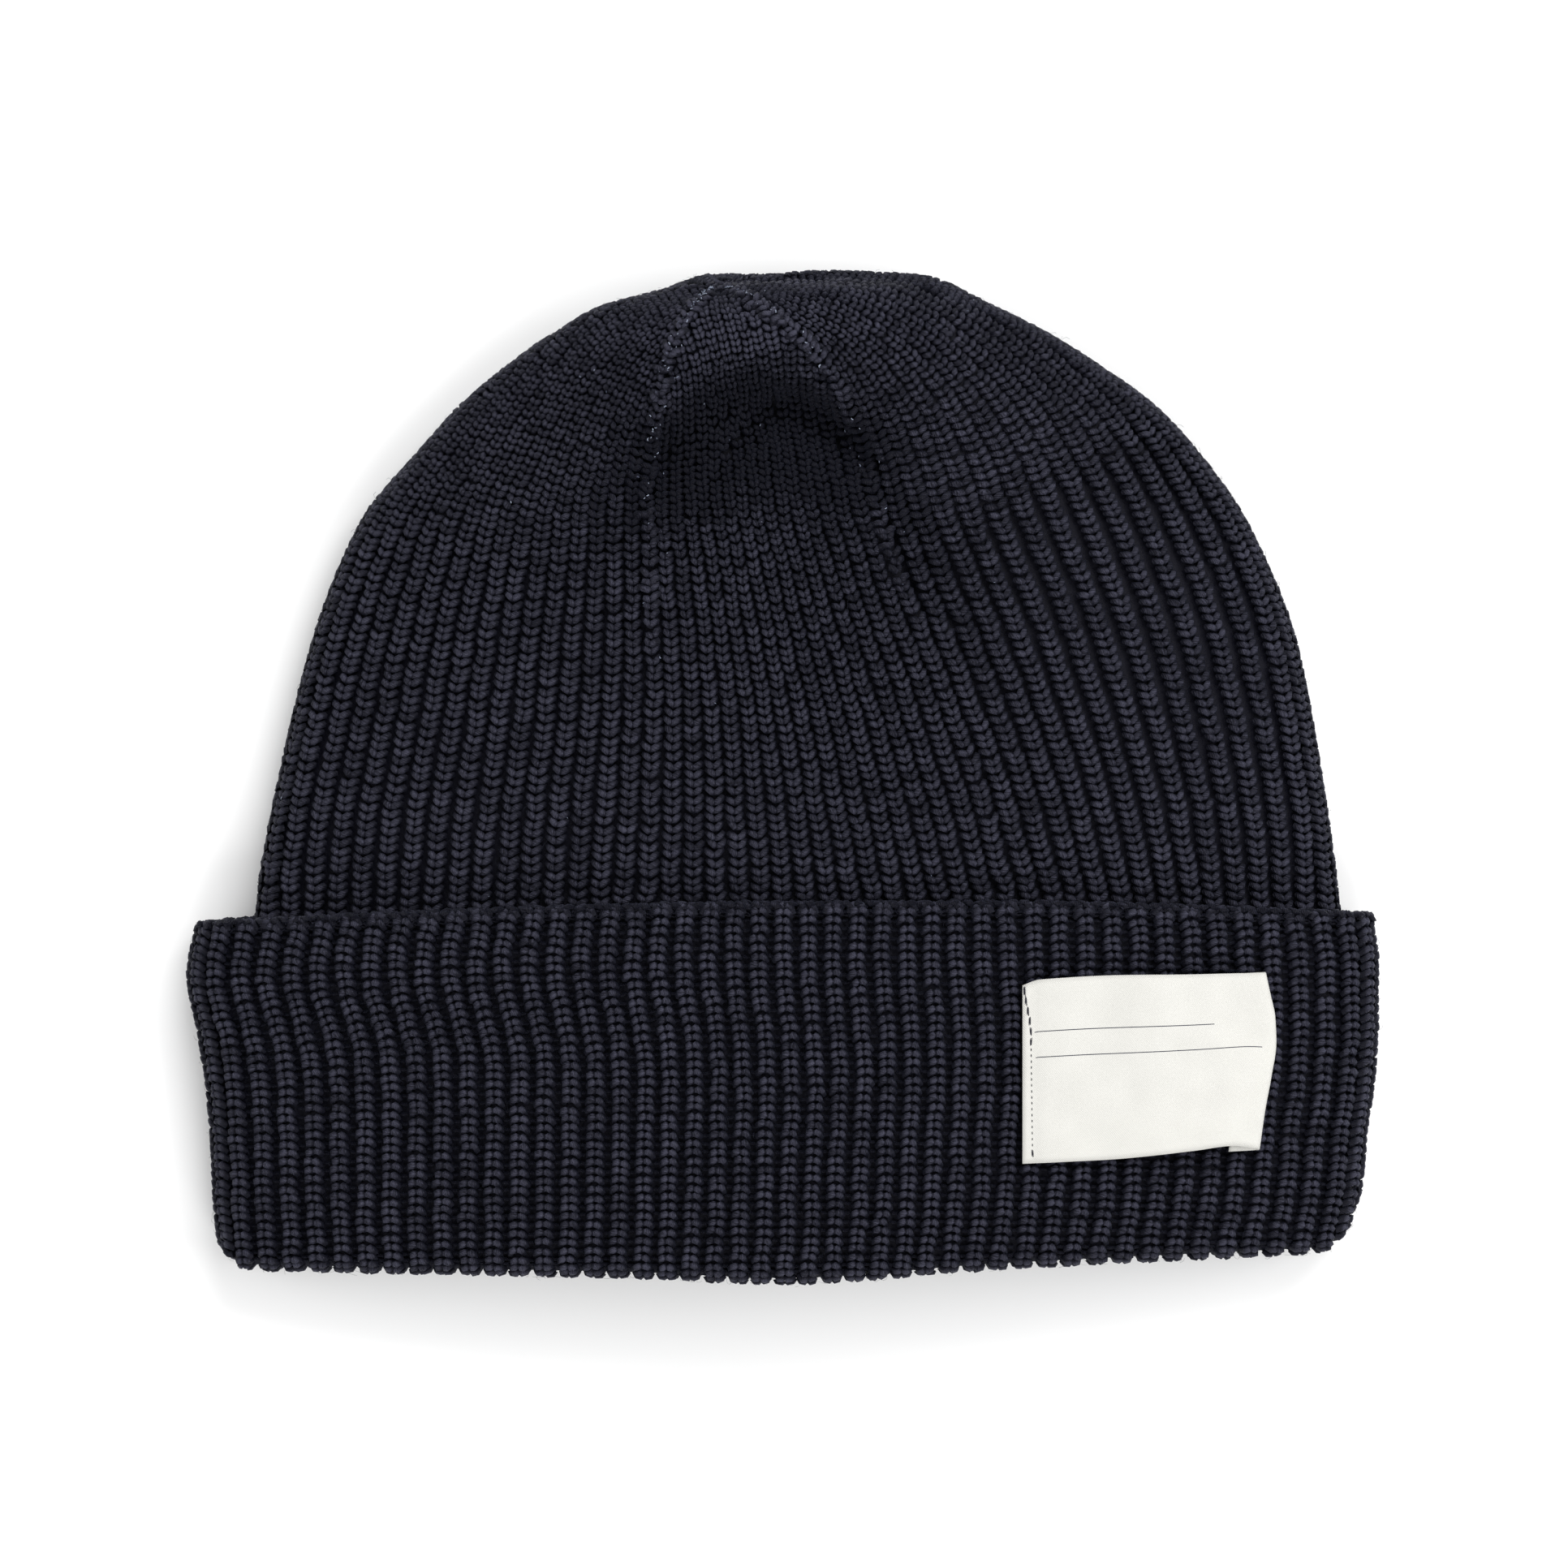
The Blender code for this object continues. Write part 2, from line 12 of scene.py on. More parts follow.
import bmesh
import bpy
import numpy as np
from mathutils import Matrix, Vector


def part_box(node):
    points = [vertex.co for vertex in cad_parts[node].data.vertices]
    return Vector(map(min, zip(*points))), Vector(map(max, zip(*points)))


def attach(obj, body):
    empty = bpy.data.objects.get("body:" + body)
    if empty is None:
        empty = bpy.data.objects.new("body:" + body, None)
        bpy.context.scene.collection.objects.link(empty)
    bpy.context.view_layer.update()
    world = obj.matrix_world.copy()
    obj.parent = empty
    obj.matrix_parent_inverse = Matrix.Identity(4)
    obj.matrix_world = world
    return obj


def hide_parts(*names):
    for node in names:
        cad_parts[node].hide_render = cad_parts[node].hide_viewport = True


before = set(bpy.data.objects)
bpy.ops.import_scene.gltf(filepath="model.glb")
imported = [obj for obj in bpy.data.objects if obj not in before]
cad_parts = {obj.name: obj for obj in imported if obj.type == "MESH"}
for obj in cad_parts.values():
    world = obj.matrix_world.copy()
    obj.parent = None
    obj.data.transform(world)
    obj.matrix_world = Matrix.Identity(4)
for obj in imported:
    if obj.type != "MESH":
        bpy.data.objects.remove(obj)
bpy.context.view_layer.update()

# Plan sizes, the same as the solid's
CUFF_WIDTH = 0.2364  # across the cuff, side fold to side fold
CUFF_HEIGHT = 0.0755  # hem to the cuff's free edge, at the middle
CROWN_LENGTH = 0.1247  # cuff's free edge to the top of the crown
CROWN_STEP = 0.0105  # how far each side of the crown lies inside the cuff's
CROWN_SHIFT = 0.0030  # the crown lies this much to the right of the cuff's middle
HALF_CUFF = CUFF_WIDTH / 2
HALF_CROWN = HALF_CUFF - CROWN_STEP
CAP_LENGTH = CUFF_HEIGHT + CROWN_LENGTH

# Thicknesses, the same as the solid's
WALL = 0.0032
LAYER_GAP = 0.0010
CUFF_HOLLOW = 0.0180
SIDE_HOLLOW = 0.0022
CROWN_HOLLOW = 0.0236
DENT_DEPTH = 0.0062
CUFF_LAYERS = WALL + LAYER_GAP
HEM_RADIUS = WALL + LAYER_GAP / 2
CUFF_SIDE = 4 * WALL + 2 * LAYER_GAP + SIDE_HOLLOW
CUFF_TOP = 4 * WALL + 2 * LAYER_GAP + CUFF_HOLLOW
CROWN_TOP = 2 * WALL + CROWN_HOLLOW

# Knitting
GORES = 6
RIBS_PER_GORE = 16
RIBS = GORES * RIBS_PER_GORE
COLUMNS = 2 * RIBS  # one at each rib's crest and one in each valley
HALF_TURN = COLUMNS // 2  # column at the right side fold, column 0 is at the left
ROW_PITCH = 0.00175  # one row of knitting
ROW_TIGHTER = 0.13  # rows are this much shorter near the tip
TIGHTER_SPAN = (0.060, 0.115)  # and get so between these lengths up a rib of the crown
PLAIN_PITCH = 0.00235  # ribs are gathered to this before they begin to end at the seams
GATHER_POWER = 10  # how sharply they stop being gathered there
RIB_END = 0.3  # a rib ends this many columns short of its seam

# Gore seams on the front, in ribs from the left side fold
SEAM_FROM_FOLD = 17
LEFT_SEAM = SEAM_FROM_FOLD / (RIBS / 2)
RIGHT_SEAM = (SEAM_FROM_FOLD + RIBS_PER_GORE) / (RIBS / 2)

# How far the hem and the cuff's free edge bow up, as shares of CUFF_HEIGHT
Bow = namedtuple("Bow", "left left_seam right_seam right back_left back_right")
HEM_BOW = Bow(0.034, 0.017, 0.038, 0.082, 0.034, 0.084)
EDGE_BOW = Bow(-0.058, -0.008, 0.000, -0.034, -0.030, -0.030)

# Cuff, hem to free edge, as shares of CUFF_HEIGHT, HALF_CUFF, CUFF_SIDE and CUFF_TOP
CuffRow = namedtuple("CuffRow", "up left_edge right_edge side top")
CUFF_ROWS = (
    CuffRow(0.049, -0.950, 0.957, 0.97, 0.93),
    CuffRow(0.180, -0.955, 0.972, 1.00, 0.97),
    CuffRow(0.360, -0.960, 0.982, 1.00, 1.00),
    CuffRow(0.540, -0.969, 0.996, 1.00, 1.00),
    CuffRow(0.700, -0.984, 1.000, 1.00, 1.00),
    CuffRow(0.850, -1.000, 1.000, 1.00, 1.00),
    CuffRow(0.978, -0.987, 0.992, 1.00, 1.00),
)

# Crown, cuff edge to tip. Rises are shares of CROWN_LENGTH, edges and seams of
# HALF_CROWN, heights of CROWN_TOP, and held says how far the cuff holds a row down.
CrownRow = namedtuple(
    "CrownRow", "front left_rise right_rise back_rise left_edge left_seam right_seam right_edge "
    "bottom side top held")
CROWN_ROWS = (
    CrownRow(0.000, 0.000, 0.000, 0.000, -1.000, -0.276, 0.386, 1.000, 0.00, 0.47, 0.96, 1.0),
    CrownRow(0.062, 0.062, 0.062, 0.062, -0.990, -0.273, 0.368, 0.991, 0.00, 0.47, 0.99, 0.5),
    CrownRow(0.166, 0.166, 0.166, 0.166, -0.964, -0.269, 0.335, 0.973, 0.00, 0.47, 1.01, 0.0),
    CrownRow(0.295, 0.295, 0.295, 0.295, -0.931, -0.264, 0.284, 0.948, 0.00, 0.47, 1.02, 0.0),
    CrownRow(0.424, 0.424, 0.424, 0.424, -0.891, -0.266, 0.228, 0.916, 0.00, 0.47, 1.01, 0.0),
    CrownRow(0.528, 0.528, 0.528, 0.528, -0.847, -0.270, 0.182, 0.871, 0.00, 0.47, 0.99, 0.0),
    CrownRow(0.618, 0.618, 0.618, 0.618, -0.795, -0.275, 0.146, 0.819, 0.00, 0.47, 0.96, 0.0),
    CrownRow(0.709, 0.709, 0.709, 0.709, -0.706, -0.269, 0.121, 0.744, 0.00, 0.47, 0.93, 0.0),
    CrownRow(0.787, 0.787, 0.787, 0.787, -0.624, -0.255, 0.089, 0.661, 0.00, 0.47, 0.91, 0.0),
    CrownRow(0.851, 0.851, 0.851, 0.851, -0.537, -0.237, 0.049, 0.558, 0.00, 0.48, 0.90, 0.0),
    CrownRow(0.899, 0.900, 0.900, 0.903, -0.455, -0.216, -0.004, 0.468, 0.01, 0.50, 0.89, 0.0),
    CrownRow(0.938, 0.944, 0.944, 0.950, -0.366, -0.190, -0.064, 0.365, 0.05, 0.50, 0.87, 0.0),
    CrownRow(0.958, 0.970, 0.995, 0.982, -0.251, -0.166, -0.101, 0.221, 0.16, 0.42, 0.81, 0.0),
    CrownRow(0.966, 0.984, 1.000, 0.996, -0.196, -0.154, -0.125, 0.056, 0.34, 0.22, 0.72, 0.0),
    CrownRow(0.969, 0.981, 0.992, 0.988, -0.169, -0.148, -0.136, -0.049, 0.47, 0.14, 0.68, 0.0),
)
Tip = namedtuple("Tip", "edge rise height")
TIP = Tip(-0.142, 0.975, 0.61)
CLOSING = (0.2, 0.4, 0.6, 0.8, 0.96)  # the last rings lie these shares of the way to the tip

# Dents and swellings of the front: across is a share of HALF_CUFF, along of CAP_LENGTH
# and depth of DENT_DEPTH. Steep says how many times sharper the side towards the tip is,
# and arch how far the dent's ends lie below its middle.
Dent = namedtuple("Dent", "across along reach_across reach_along depth steep arch")
DENTS = (
    Dent(-0.040, 0.860, 0.182, 0.068, 1.10, 2.3, 0.055),    # hollow below the tip, between the seams
    Dent(0.020, 0.866, 0.130, 0.030, 0.45, 2.0, 0.070),     # crease along the top of it
    Dent(-0.205, 0.816, 0.060, 0.042, 0.75, 1.5, 0.0),      # its left corner
    Dent(0.110, 0.836, 0.060, 0.036, 0.45, 1.5, 0.0),       # its right corner
    Dent(-0.060, 0.938, 0.170, 0.030, -0.50, 1.0, 0.0),     # puffed ridge over it
    Dent(-0.610, 0.282, 0.330, 0.036, 0.26, 1.0, 0.0),      # bend across the left of the cuff
    Dent(0.250, 0.700, 0.300, 0.060, 0.10, 1.0, 0.0),       # slack right of the front seams
)
FRONT_EDGE = 4  # how sharply the front's dents end towards the side folds

# Where the ribs run out into plain knitting: places across the cap and up it from the hem
PLAIN_EDGE = np.array((
    (-0.095, 0.152), (-0.083, 0.149), (-0.070, 0.153), (-0.059, 0.146), (-0.047, 0.141), (-0.030, 0.148),
    (-0.013, 0.1526), (0.015, 0.1526), (0.023, 0.147), (0.043, 0.152), (0.051, 0.157), (0.058, 0.161),
    (0.066, 0.165), (0.074, 0.190)))
PLAIN_FADE = 0.0050  # they do so over this far to either side of that line

# Fineness of the surfaces that the stitches lie on
FINE = 4  # points from one column to the next
LOOP = np.arange(COLUMNS * FINE) / FINE
FRONT_SHARE = np.clip(FRONT_EDGE * np.sin(2 * pi * LOOP / COLUMNS), 0, 1)
CROWN_STEPS = 10  # rows of points between two rows of CROWN_ROWS
CUFF_STEPS = 90  # rows of points up the cuff
HEM_STEPS = 16
EDGE_ANGLES = (150, 120, 90, 60, 30)  # degrees round the cuff's free edge, from behind it

# Other forms of the wall
CROWN_TAKES_OVER = 1.3  # behind the cuff the wall takes the crown's shape, later the higher
HIDDEN_START = 0.005  # the crown's stitches start this far below the cuff's free edge
HIDDEN_RINGS = (1, 0.66, 0.33)  # and have a ring of points at these shares of that
INSIDE_REACH = 0.034  # stitches run this far into the cap from the hem
CORNER_LIFT = 0.0032  # the hem's ends are rounded off by this
CORNER_REACH = 0.0019
CORNER_ROWS = 14  # rows of points up the cuff that the rounding takes with it
KINK_SHIFT = 0.0019  # how far the bend across the cuff's left moves its ribs aside
KINK_UP = 0.68  # its place, its depth and how far it eases off, as shares of CUFF_HEIGHT
KINK_SPAN = 0.20
KINK_EASE = 0.55
KINK_AT = -0.62  # its middle and its reach across, as shares of HALF_CUFF
KINK_REACH = 0.42


def smooth_step(low, high, value):
    t = np.clip((value - low) / (high - low), 0, 1)
    return t * t * (3 - 2 * t)


def smooth_curve(keys, values, at):
    """Smooth curve through a few points that never overshoots them."""
    keys = np.asarray(keys, float)
    values = np.asarray(values, float)
    run = np.diff(keys)
    slope = np.diff(values) / run
    bend = np.zeros(len(keys))
    for k in range(1, len(keys) - 1):
        if slope[k - 1] * slope[k] > 0:
            bend[k] = 2 * slope[k - 1] * slope[k] / (slope[k - 1] + slope[k])
    bend[0] = slope[0]
    bend[-1] = slope[-1]
    span = np.clip(np.searchsorted(keys, at, side="right") - 1, 0, len(run) - 1)
    t = (at - keys[span]) / run[span]
    step = (values[span + 1] - values[span]) * t * t * (3 - 2 * t)
    leaving = run[span] * bend[span] * t * (1 - t) ** 2
    arriving = run[span] * bend[span + 1] * t * t * (1 - t)
    return values[span] + step + leaving - arriving


def between_rows(rows, keys, at):
    """Rows of a table at any places between its own, each column smoothly."""
    table = np.array(rows)
    columns = [smooth_curve(keys, table[:, k], at) for k in range(table.shape[1])]
    return [type(rows[0])(*values) for values in zip(*columns)]


# One ring of the wall: how far up its front lies at the left fold, left seam, middle, right
# seam and right fold, and its back from left to right, where its folds and seams lie across
# the cap, and the heights of its underside, of its side folds and of its middle
Section = namedtuple("Section", "front back across bottom side top")


def cuff_bow(up):
    return Bow(*[(low + (high - low) * up) * CUFF_HEIGHT for low, high in zip(HEM_BOW, EDGE_BOW)])


def cuff_section(row):
    bow = cuff_bow(row.up)
    middle = row.up * CUFF_HEIGHT
    left = row.left_edge * HALF_CUFF
    right = row.right_edge * HALF_CUFF
    return Section(
        [middle + rise for rise in (bow.left, bow.left_seam, 0, bow.right_seam, bow.right)],
        [middle + rise for rise in (bow.left, bow.back_left, bow.back_right, bow.right)],
        [left + (right - left) * way for way in (0, LEFT_SEAM, RIGHT_SEAM, 1)],
        0.0, row.side * CUFF_SIDE, row.top * CUFF_TOP)


def crown_section(row):
    """Section of the crown, which starts inside the cuff and then lies free."""
    bow = Bow(*[row.held * length for length in cuff_bow(1)])
    rises = (row.left_rise, row.front, row.right_rise, row.back_rise)
    left, front, right, back = [CUFF_HEIGHT + rise * CROWN_LENGTH for rise in rises]
    edges = (row.left_edge, row.left_seam, row.right_seam, row.right_edge)

    def height(free, held):
        return free + (held - free) * row.held

    return Section(
        (left + bow.left, front + bow.left_seam, front, front + bow.right_seam, right + bow.right),
        (left + bow.left, back + bow.back_left, back + bow.back_right, right + bow.right),
        [CROWN_SHIFT + edge * HALF_CROWN for edge in edges],
        height(row.bottom * CROWN_TOP, CUFF_LAYERS),
        height(row.side * CROWN_TOP, CUFF_SIDE - 2 * CUFF_LAYERS),
        height(row.top * CROWN_TOP, CUFF_TOP - CUFF_LAYERS))


def half_loop(section, way, turn_end, seams):
    """Front or back of a section: across, up and share of the way out, from left fold to right."""
    left, right = section.across[0], section.across[-1]
    radius = section.side / 2
    arc = radius * turn_end
    inset = radius * (1 - cos(turn_end))
    fold = arc / (right - left - 2 * inset + 2 * arc)
    keys = (fold, *[share for share, place in seams], 1 - fold)
    places = (left + inset, *[place for share, place in seams], right - inset)
    turn = np.clip(np.minimum(way, 1 - way) / fold, 0, 1) * turn_end
    rounded = radius * (1 - np.cos(turn))
    x = smooth_curve(keys, places, way)
    x = np.where(way < fold, left + rounded, np.where(way > 1 - fold, right - rounded, x))
    out = np.clip((x - (left + right) / 2) / ((right - left) / 2 - inset), -1, 1)
    return x, radius * np.sin(turn), out


def section_loop(section):
    """One closed loop of points: over the front from left to right, then back underneath."""
    front = LOOP <= HALF_TURN
    way = np.where(front, LOOP, COLUMNS - LOOP) / HALF_TURN
    radius = section.side / 2
    half = (section.across[-1] - section.across[0]) / 2 - radius
    slope = np.arctan(2 * (section.top - section.bottom - section.side) / half)
    shoulder = section.bottom + radius * (1 + cos(slope))
    seams = ((LEFT_SEAM, section.across[1]), (RIGHT_SEAM, section.across[2]))
    x_front, lift, out = half_loop(section, way, pi / 2 - slope, seams)
    z_front = section.bottom + radius + lift + (section.top - shoulder) * (1 - out * out)
    x_back, drop, out = half_loop(section, way, pi / 2, ())
    z_back = section.bottom + radius - drop
    y_front = smooth_curve((0, LEFT_SEAM, 0.5, RIGHT_SEAM, 1), section.front, way)
    y_back = smooth_curve((0, 0.2, 0.8, 1), section.back, way)
    return np.where(front, [x_front, y_front, z_front], [x_back, y_back, z_back]).T


def unit(vectors):
    return vectors / np.maximum(np.linalg.norm(vectors, axis=-1, keepdims=True), 1e-12)


def outward(grid):
    """Outward normal at each point of a grid of rings that run up the cap."""
    around = np.roll(grid, -1, axis=1) - np.roll(grid, 1, axis=1)
    return unit(np.cross(around, np.gradient(grid, axis=0)))


def dented(x, y):
    """How deep the dents are at any places in plan."""
    depth = 0
    for dent in DENTS:
        across = (x - dent.across * HALF_CUFF) / (dent.reach_across * HALF_CUFF)
        middle = (dent.along - dent.arch * across ** 2) * CAP_LENGTH
        along = (y - middle) / (dent.reach_along * CAP_LENGTH)
        along = np.where(along > 0, dent.steep * along, along)
        depth = depth + DENT_DEPTH * dent.depth * np.exp(-across ** 2 - along ** 2)
    return depth


def plainness(x, y):
    """How far the ribs have run out into plain knitting, 0 to 1, at any places in plan."""
    return smooth_step(-PLAIN_FADE, PLAIN_FADE, y - np.interp(x, PLAIN_EDGE[:, 0], PLAIN_EDGE[:, 1]))


def settle(grid):
    """Push the front's dents into every ring of a grid."""
    grid[..., 2] -= FRONT_SHARE * dented(grid[..., 0], grid[..., 1])
    return grid


# A face of the wall: rings of points, their normals, and how far it was shifted into the frame
Surface = namedtuple("Surface", "points normals shift")


def in_plan(surface, points):
    """Where points on a surface lie in the plan that the tables above are written in."""
    return points[..., 0] + surface.shift[0], points[..., 1] + surface.shift[1]


def crown_rings():
    """Fine rings of the crown, from the cuff's free edge to the tip."""
    index = np.arange(len(CROWN_ROWS))
    at = np.arange(0, (len(CROWN_ROWS) - 1) * CROWN_STEPS + 1) / CROWN_STEPS
    rings = np.array([section_loop(crown_section(row)) for row in between_rows(CROWN_ROWS, index, at)])
    tip = np.array([
        CROWN_SHIFT + TIP.edge * HALF_CROWN, CUFF_HEIGHT + TIP.rise * CROWN_LENGTH, TIP.height * CROWN_TOP])
    return np.concatenate([rings, [rings[-1] + (tip - rings[-1]) * share for share in CLOSING]])


def crown_surface(rings, shift):
    """Outside of the crown, with a few rings more where it goes down behind the cuff."""
    hidden = rings[:1].repeat(len(HIDDEN_RINGS), axis=0)
    hidden[:, :, 1] -= HIDDEN_START * np.array(HIDDEN_RINGS)[:, None]
    grid = settle(np.concatenate([hidden, rings]))
    return Surface(grid - shift, outward(grid), shift)


def round_corners(grid):
    """Lift the ends of the hem, which round off towards the side folds."""
    hem = len(EDGE_ANGLES) + CUFF_STEPS
    rows = np.arange(grid.shape[0])
    near = smooth_step(hem - CORNER_ROWS, hem, rows)
    near = near * smooth_step(hem + 2 * HEM_STEPS, hem + HEM_STEPS, rows)
    x = grid[..., 0]
    from_fold = np.minimum(x - x.min(axis=1, keepdims=True), x.max(axis=1, keepdims=True) - x)
    grid[..., 1] += CORNER_LIFT * near[:, None] * np.exp(-(from_fold / CORNER_REACH) ** 2)


def kink(grid):
    """Shift the front's ribs sideways where the left of the cuff is bent."""
    x, y = grid[..., 0] / HALF_CUFF, grid[..., 1] / CUFF_HEIGHT
    sharp = smooth_step(KINK_UP + KINK_SPAN / 2, KINK_UP - KINK_SPAN / 2, y)
    slow = smooth_step(1.0, KINK_UP - KINK_EASE, y)
    near = np.exp(-((x - KINK_AT) / KINK_REACH) ** 2)
    grid[..., 0] += KINK_SHIFT * FRONT_SHARE * (sharp - slow) * near


def turned(ring, out, radius, angle):
    """A ring carried round an edge of the cuff, over its top, or under it for a negative radius."""
    return ring - abs(radius) * (1 - cos(angle)) * out + np.array([0, radius * sin(angle), 0])


def cuff_surface(crown, shift):
    """The face that shows on the cuff, from its free edge over the hem and on up the inside."""
    ups = np.array([row.up for row in CUFF_ROWS])
    at = np.linspace(ups[0], ups[-1], CUFF_STEPS)
    cuff = np.array([section_loop(cuff_section(row)) for row in between_rows(CUFF_ROWS, ups, at)])
    out = outward(cuff)
    inset = cuff - CUFF_LAYERS * out
    freed = np.broadcast_to(crown[0], inset.shape).copy()
    freed[..., 1] = inset[..., 1]
    share = (at - ups[0]) / (ups[-1] - ups[0])
    behind = inset + (freed - inset) * share[:, None, None] ** CROWN_TAKES_OVER
    inner_out = outward(behind)
    inner_out[0] = out[0]
    inside = behind - WALL * inner_out
    edge = [turned(cuff[-1], out[-1], WALL / 2, angle) for angle in np.radians(EDGE_ANGLES)]
    hem = [turned(cuff[0], out[0], -HEM_RADIUS, pi * k / HEM_STEPS) for k in range(1, HEM_STEPS)]
    grid = settle(np.concatenate([edge, cuff[::-1], hem, inside]))
    round_corners(grid)
    kink(grid)
    return Surface(grid - shift, -outward(grid), shift)


def read(array, column, row):
    """Value of a fine grid at any column and row, by the four points around it."""
    column = np.mod(np.asarray(column, float) * FINE, array.shape[1])
    row = np.clip(row, 0, array.shape[0] - 1.001)
    c = np.floor(column).astype(int)
    r = np.floor(row).astype(int)
    u = (column - c)[..., None]
    v = (row - r)[..., None]
    c = c % array.shape[1]
    after = (c + 1) % array.shape[1]
    low = array[r, c] * (1 - u) + array[r, after] * u
    high = array[r + 1, c] * (1 - u) + array[r + 1, after] * u
    return low * (1 - v) + high * v


# Columns of knitting, as lines over a surface. Each has its column and its squeeze,
# how many times wider it runs than the gore's own columns, for each row of points.
Line = namedtuple("Line", "column squeeze rows gore")


def gore_widths(surface):
    """Width across each gore, square to its columns, at each row of points."""
    points = surface.points
    around = (np.roll(points, -1, axis=1) - np.roll(points, 1, axis=1)) / 2
    along = unit(np.gradient(points, axis=0))
    span = np.linalg.norm(np.cross(around, along), axis=2)
    widths = []
    for gore in range(GORES):
        first = (SEAM_FROM_FOLD + (gore - 1) * RIBS_PER_GORE) * 2 * FINE
        within = np.arange(first, first + RIBS_PER_GORE * 2 * FINE) % span.shape[1]
        widths.append(span[:, within].sum(axis=1))
    return widths


def crown_lines(surface, widths):
    """Each gore's seam rib, then its other ribs, which end one by one where they meet its seams."""
    rows = np.arange(surface.points.shape[0])
    ones = np.ones(len(rows))
    lines = []
    for gore, width in enumerate(widths):
        middle = (SEAM_FROM_FOLD + (gore - 0.5) * RIBS_PER_GORE) * 2
        wanted = RIBS_PER_GORE * PLAIN_PITCH / width
        squeeze = (1 + wanted ** GATHER_POWER) ** (1 / GATHER_POWER)
        lines.append(Line(ones * (middle - RIBS_PER_GORE), ones, rows, gore))
        for k in range(1, RIBS_PER_GORE):
            place = (2 * k - RIBS_PER_GORE) * squeeze
            ends = np.argmax(np.abs(place) > RIBS_PER_GORE - RIB_END)
            last = ends if ends > 0 else len(rows)
            lines.append(Line(middle + place[:last], squeeze[:last], rows[:last], gore))
    return lines


def cuff_lines(surface):
    rows = np.arange(surface.points.shape[0])
    ones = np.ones(len(rows))
    return [Line(ones * 2 * rib, ones, rows, 0) for rib in range(RIBS)]


# Places of stitches: where each lies, which way its column runs, which way is out of the
# wall, how wide its column and how long its row is, its column, its way along and its gore
Stitches = namedtuple("Stitches", "place along out pitch length column way gore")
PATH_STEP = 0.2  # rows of points from one place to the next along a line
LINE_END = 0.2  # rows of knitting left free at a line's end


def along_wall(way, out):
    """Unit vectors along the wall that run as nearly as they can the way given."""
    return unit(way - out * (way * out).sum(axis=1, keepdims=True))


def lay_stitches(surface, lines, reach=1.0, tighter=0.0):
    """Stitches one row apart along each line, as far as reach. Rows may get shorter on the way."""
    found = []
    for line in lines:
        fine_rows = np.arange(line.rows[0], line.rows[-1], PATH_STEP)
        column = np.interp(fine_rows, line.rows, line.column)
        path = read(surface.points, column, fine_rows)
        way = np.concatenate([[0], np.cumsum(np.linalg.norm(np.diff(path, axis=0), axis=1))])
        length = ROW_PITCH * (1 - tighter * smooth_step(*TIGHTER_SPAN, way))
        rows_along = np.concatenate([[0], np.cumsum(np.diff(way) / length[1:])])
        steps = np.arange(0.5, np.interp(reach, way, rows_along) - LINE_END)
        if len(steps) == 0:
            continue
        index = np.arange(len(way))
        at = np.interp(steps, rows_along, index)
        row = np.interp(at, index, fine_rows)
        col = np.interp(row, fine_rows, column)
        ahead, behind = [
            read(surface.points, np.interp(near, fine_rows, column), near)
            for near in (row + 2 * PATH_STEP, row - 2 * PATH_STEP)]
        out = unit(read(surface.normals, col, row))
        along = along_wall(unit(ahead - behind), out)
        side = read(surface.points, col + 0.5, row) - read(surface.points, col - 0.5, row)
        pitch = 2 * np.linalg.norm(np.cross(side, along), axis=1) * np.interp(row, line.rows, line.squeeze)
        found.append(Stitches(
            read(surface.points, col, row), along, out, pitch, np.interp(at, index, length), col,
            np.interp(at, index, way), np.full(len(row), line.gore)))
    return join(found)


def join(groups):
    return Stitches(*[np.concatenate(part) for part in zip(*groups)])


def pick(stitches, which):
    return Stitches(*[part[which] for part in stitches])


def free_stitches(place, along, out, pitch=0.0, length=ROW_PITCH):
    """Stitches that lie on no column of the knitting."""
    zero = np.zeros(len(place))
    return Stitches(place, along, out, zero + pitch, zero + length, zero, zero, zero)


# One stitch, seen with its column running up: legs of yarn that start at the foot of
# the stitch, near its middle, and end out at its sides, where the next row covers them
Leg = namedtuple("Leg", "start bend end")


def mirrored(leg):
    """A leg and the same leg on the stitch's other side."""
    return leg, Leg(*[(-x, y, z) for x, y, z in leg])


STITCH_WIDTH = 0.0038  # of a stitch as drawn here, before it is fitted to its column
CROWN_LEGS = mirrored(
    Leg((0.00008, -0.00066, -0.00080), (0.00078, -0.00022, 0.00116), (0.00148, 0.00050, -0.00100)))
PLAIN_LEGS = mirrored(
    Leg((0.00034, -0.00050, -0.00055), (0.00078, -0.00010, 0.00105), (0.00122, 0.00046, -0.00085)))
CUFF_LEGS = mirrored(
    Leg((0.00026, -0.00006, -0.00075), (0.00086, -0.00070, 0.00125), (0.00145, 0.00060, -0.00130)))
PURL_LEGS = (Leg((-0.00100, 0.0, -0.00050), (0.0, 0.00040, 0.00070), (0.00100, 0.0, -0.00050)),)
PURL_WIDTH = 0.0020  # of a purl loop as drawn here

# Yarns: thickness, sides round and points along a leg, and the share that its ends lose
Yarn = namedtuple("Yarn", "thick sides steps taper")
CROWN_YARN = Yarn(0.00142, 5, 4, 0.42)
PLAIN_YARN = Yarn(0.00140, 5, 4, 0.42)
CUFF_YARN = Yarn(0.00150, 5, 4, 0.42)
BACK_YARN = Yarn(0.00158, 3, 4, 0.36)  # of the back and the inside, with fewer sides
PURL_YARN = Yarn(0.00080, 3, 3, 0.50)
YARN_FULL = 1.04  # how many times its thickness a leg has at its middle
PLY_SPACING = 0.00042  # from one ply of the yarn to the next
PLY_LEAN = 0.9  # the plies cross the yarn at about this slope


